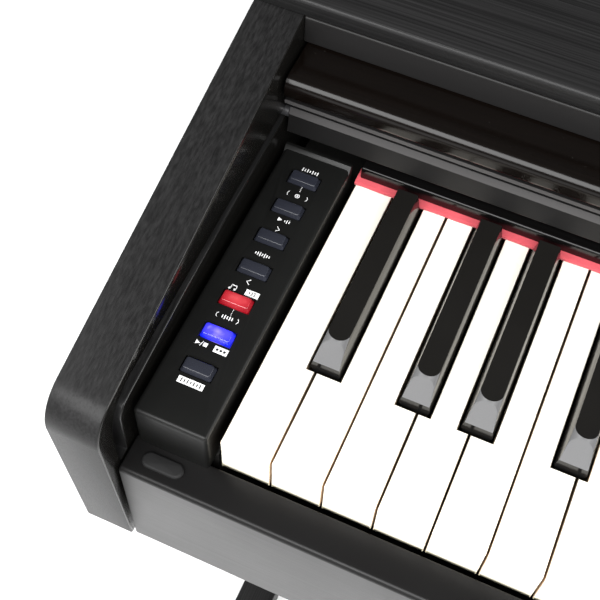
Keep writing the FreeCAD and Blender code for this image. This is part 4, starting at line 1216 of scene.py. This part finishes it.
class PIANO_OT_electrics(bpy.types.Operator):
    """Shapes the speaker cones, grilles, sockets and the circuit board"""
    bl_idname = "piano.electrics"
    bl_label = "Speakers and sockets"

    def execute(self, context):
        paper = moulded("speaker_paper", (0.020, 0.020, 0.021), 0.7, grain=900, depth=0.12)
        surround = rubber("speaker_surround", (0.018, 0.018, 0.018))
        magnet = brushed("speaker_magnet", (0.40, 0.40, 0.41), 0, 0.35, metallic=1.0)
        low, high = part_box("speaker_drivers")
        radius = (high.y - low.y) / 2
        y, z = (low.y + high.y) / 2, low.z
        build = bmesh.new()
        for x in (low.x + radius, high.x - radius):
            cone = in_mm([(0.3, 6), (6, 5), (9, 4), (38, 12.5), (38, 13.5), (9, 7), (0.3, 7.5)], z)
            roll = in_mm([(38, 1.0), (39, 0.1), (44, 0.1), (radius / MM, 0), (radius / MM, 2),
                          (46, 3), (38, 4)], z)
            basket = in_mm([(44, 2.5), (46, 2.5), (24, 24)], z)
            motor = in_mm([(24, -2), (22, 0), (2, 0)], high.z)
            for finish, profile in enumerate((cone, roll, basket + motor)):
                lathe(build, (x, y, 0), profile, 48, finish=finish)
        face_outwards(build)
        show("speaker_cones", to_mesh(build, "speaker_cones", sharp=40), HOME["speaker_drivers"],
            paper, surround, magnet, slot="speaker_cone", stands_for=("speaker_drivers",))
        grille = moulded("grille_plastic", (0.020, 0.020, 0.021), 0.5)
        softened("speaker_grilles", 0.25 * MM, grille, slot="panel_plastic", segments=1)
        plate = Finish("circuit_green", roughness=0.35)
        cells = plate.node("ShaderNodeTexBrick", {"offset": 0.5}, {
            "Vector": plate.place((1, 1, 1)), "Scale": 90.0, "Mortar Size": 0.03,
            "Color1": (0.006, 0.045, 0.014, 1), "Color2": (0.008, 0.060, 0.020, 1),
            "Mortar": (0.05, 0.16, 0.06, 1)})
        haze = plate.noise([60] * 3, 3)
        plate.paint(cells, (0.006, 0.04, 0.012), haze * 0.6)
        plate.set("Roughness", 0.30 + haze * 0.2)
        softened("main_circuit_board", 0.2 * MM, plate.material, slot="circuit", segments=1)
        softened("jack_panel", 0.4 * MM, moulded("socket_plastic", (0.016, 0.016, 0.017), 0.4),
                 slot="panel_plastic", segments=2)
        chrome = brushed("socket_ring", (0.55, 0.55, 0.57), 1, 0.22, metallic=1.0)
        low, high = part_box("jack_panel")
        middle = middle_of("jack_panel")
        rings = bmesh.new()
        pitch = (high.x - low.x) / 3
        for n, bore in ((-1, 3.0), (0, 3.4), (1, 3.4)):
            lathe(rings, (middle.x + n * pitch, 0, middle.z), in_mm([
                (bore, -1), (5.6, -1), (5.6, 1.2), (5.0, 1.7), (bore + 0.4, 1.7), (bore, 1.3),
                (bore, -1)], high.y), 32, axis="y")
        bmesh.ops.remove_doubles(rings, verts=rings.verts, dist=1e-6)
        lids = [face for face in rings.faces if len(face.verts) > 4]
        bmesh.ops.delete(rings, geom=lids, context="FACES_ONLY")
        face_outwards(rings)
        show("socket_rings", to_mesh(rings, "socket_rings", sharp=35), HOME["jack_panel"],
             chrome, slot="screw_steel")
        return {"FINISHED"}


class PIANO_OT_pedals(bpy.types.Operator):
    """Shapes the three brass pedals, their housing, axle and the glide pads"""
    bl_idname = "piano.pedals"
    bl_label = "Pedals and glides"

    def execute(self, context):
        brass = brushed("pedal_brass", (0.72, 0.50, 0.20), 1, 0.20, metallic=1.0)
        for word in ("soft", "sostenuto", "damper"):
            node = word + "_pedal"
            low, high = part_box(node)
            middle = middle_of(node)
            toe = (high.x - low.x) / 2
            root, thick, turns = 11 * MM, 8 * MM, 20
            # distance from the tip, share of the full width, share of the full thickness
            stops = [(0.000, 0.30, 0.55), (0.006, 0.62, 0.75), (0.018, 0.88, 0.92),
                     (0.034, 1.00, 1.00), (0.050, 0.96, 1.00), (0.064, 0.82, 1.00),
                     (0.078, 0.745, 1.00), (0.100, 0.733, 1.00), (0.145, 0.733, 1.00)]
            rings = []
            for back, wide, deep in stops:
                half, tall = toe * wide, thick / 2 * deep
                section = []
                for i in range(turns):
                    turn = 2 * math.pi * i / turns
                    c, s = math.cos(turn), math.sin(turn)
                    section.append(Vector((middle.x + half * math.copysign(abs(c) ** 0.45, c),
                        low.y + back, middle.z + tall * math.copysign(abs(s) ** 0.55, s))))
                rings.append(section)
            build = bmesh.new()
            ring_band(build, rings)
            lathe(build, (middle.x - root, high.y - 7 * MM, middle.z), [
                (3.2 * MM, 0), (6.3 * MM, 0), (7 * MM, 0.7 * MM), (7 * MM, 2 * root - 0.7 * MM),
                (6.3 * MM, 2 * root), (3.2 * MM, 2 * root)], 32, axis="x")
            face_outwards(build)
            holder = placed("smoothing", to_mesh(build, node))
            finer = holder.modifiers.new("Smooth", "SUBSURF")
            finer.levels = finer.render_levels = 1
            stand_in(node, "_brass", settled(holder), brass, slot="pedal_brass")
        case = moulded("housing_plastic", (0.014, 0.014, 0.015), 0.45, grain=1700, depth=0.05)
        softened("pedal_housing", 1.5 * MM, case, slot="panel_plastic")
        dress("pedal_axle", brushed("axle_steel", (0.45, 0.45, 0.47), 0, 0.28, metallic=1.0))
        softened("glide_pads", 1.0 * MM, rubber("glide_rubber", (0.02, 0.02, 0.02)), slot="rubber")
        return {"FINISHED"}


# ---- stage

def softbox(name, aim, offset, size, radiance):
    """A rectangular light that stands off from the point it is turned to."""
    lamp = bpy.data.lights.new(name, "AREA")
    lamp.shape = "RECTANGLE"
    lamp.size, lamp.size_y = size
    lamp.energy = 4 * radiance * math.pi * size[0] * size[1]
    place = aim + Vector(offset)
    turn = (aim - place).to_track_quat("-Z", "Y").to_matrix().to_4x4()
    placed(name, lamp).matrix_world = Matrix.Translation(place) @ turn


class PIANO_OT_stage(bpy.types.Operator):
    """Sets the pale floor, the soft studio light and the camera over the left end"""
    bl_idname = "piano.stage"
    bl_label = "Stage"

    def execute(self, context):
        sizes = context.scene.piano_stage
        scene = context.scene
        low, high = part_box("white_key_a0")
        corner = Vector((low.x - 0.45 * MM, low.y, high.z))

        half = sizes.floor / 2
        ground = bpy.data.meshes.new("floor")
        ground.from_pydata([(x * half, y * half, 0) for x, y in ((-1, -1), (1, -1), (1, 1),
                                                                 (-1, 1))], [], [(0, 1, 2, 3)])
        floor = placed("floor", ground)
        paper = Finish("floor_white", specular_ior_level=0.0)
        shade = paper.noise([3] * 3, 2)
        paper.paint((0.93, 0.93, 0.93), (0.96, 0.96, 0.96), shade)
        paper.set("Roughness", 0.9 + shade * 0.1)
        ground.materials.append(paper.material)
        floor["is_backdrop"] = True

        world = bpy.data.worlds.new("studio")
        scene.world = world
        world.use_nodes = True
        surround = world.node_tree.nodes["Background"].inputs
        surround["Color"].default_value = (1, 1, 1, 1)
        surround["Strength"].default_value = sizes.sky

        aim = corner + Vector((0.25, 0.05, 0))
        for name, offset, size, radiance in (("front_softbox", (0.05, -1.38, 1.66), (3.4, 1.2),
                sizes.front_light), ("low_softbox", (0.1, -2.10, 0.20), (2.6, 0.8), 0.4),
                ("left_softbox", (-2.4, -0.9, 1.1), (1.6, 1.6), 1.3),
                ("right_softbox", (3.0, 0.3, 0.9), (2.4, 1.4), 1.8)):
            softbox(name, aim, offset, size, radiance)

        right = Vector((0.91437, 0.40383, 0.02904))
        up = Vector((-0.35755, 0.77179, 0.52583))
        back = right.cross(up)
        eye = corner + Vector((0.09603, -0.16435, 0.41862))
        camera = bpy.data.cameras.new("camera")
        camera.lens = sizes.lens
        camera.sensor_width = 36
        camera.clip_start = 0.01
        viewer = placed("camera", camera)
        turn = Matrix((right, up, back)).transposed().to_4x4()
        viewer.matrix_world = Matrix.Translation(eye) @ turn
        scene.camera = viewer
        scene.view_settings.view_transform = "Standard"
        return {"FINISHED"}


# ---- add-on

STEPS = ("stage", "white_keys", "black_keys", "cabinet", "cover", "trim", "panels", "buttons",
         "music_rest", "screws", "electrics", "pedals")


class PIANO_PT_parts(bpy.types.Panel):
    """Lists the parts of the piano and their sizes"""
    bl_idname = "PIANO_PT_parts"
    bl_label = "Digital piano"
    bl_space_type = "VIEW_3D"
    bl_region_type = "UI"
    bl_category = "Piano"

    def draw(self, context):
        for step in STEPS:
            self.layout.operator("piano." + step)
        for group in GROUPS:
            sizes = getattr(context.scene, group)
            for word in sizes.bl_rna.properties.keys():
                if word not in ("rna_type", "name"):
                    self.layout.prop(sizes, word)


GROUPS = {"piano_keys": KeySizes, "piano_cabinet": CabinetSizes, "piano_panel": PanelSizes,
          "piano_stage": StageSizes}
CLASSES = (*GROUPS.values(), PIANO_OT_white_keys, PIANO_OT_black_keys, PIANO_OT_cabinet,
    PIANO_OT_cover, PIANO_OT_trim, PIANO_OT_panels, PIANO_OT_buttons, PIANO_OT_music_rest,
    PIANO_OT_screws, PIANO_OT_electrics, PIANO_OT_pedals, PIANO_OT_stage, PIANO_PT_parts)


def register():
    for entry in CLASSES:
        bpy.utils.register_class(entry)
    for word, group in GROUPS.items():
        setattr(bpy.types.Scene, word, PointerProperty(type=group))


def unregister():
    for word in GROUPS:
        delattr(bpy.types.Scene, word)
    for entry in reversed(CLASSES):
        bpy.utils.unregister_class(entry)


def main():
    register()
    for step in STEPS:
        getattr(bpy.ops.piano, step)()
    boxes = {"cad": cad_bounds, "visual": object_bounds()}
    {word: [list(corner) for corner in box] for word, box in boxes.items()}


if __name__ == "__main__":
    main()
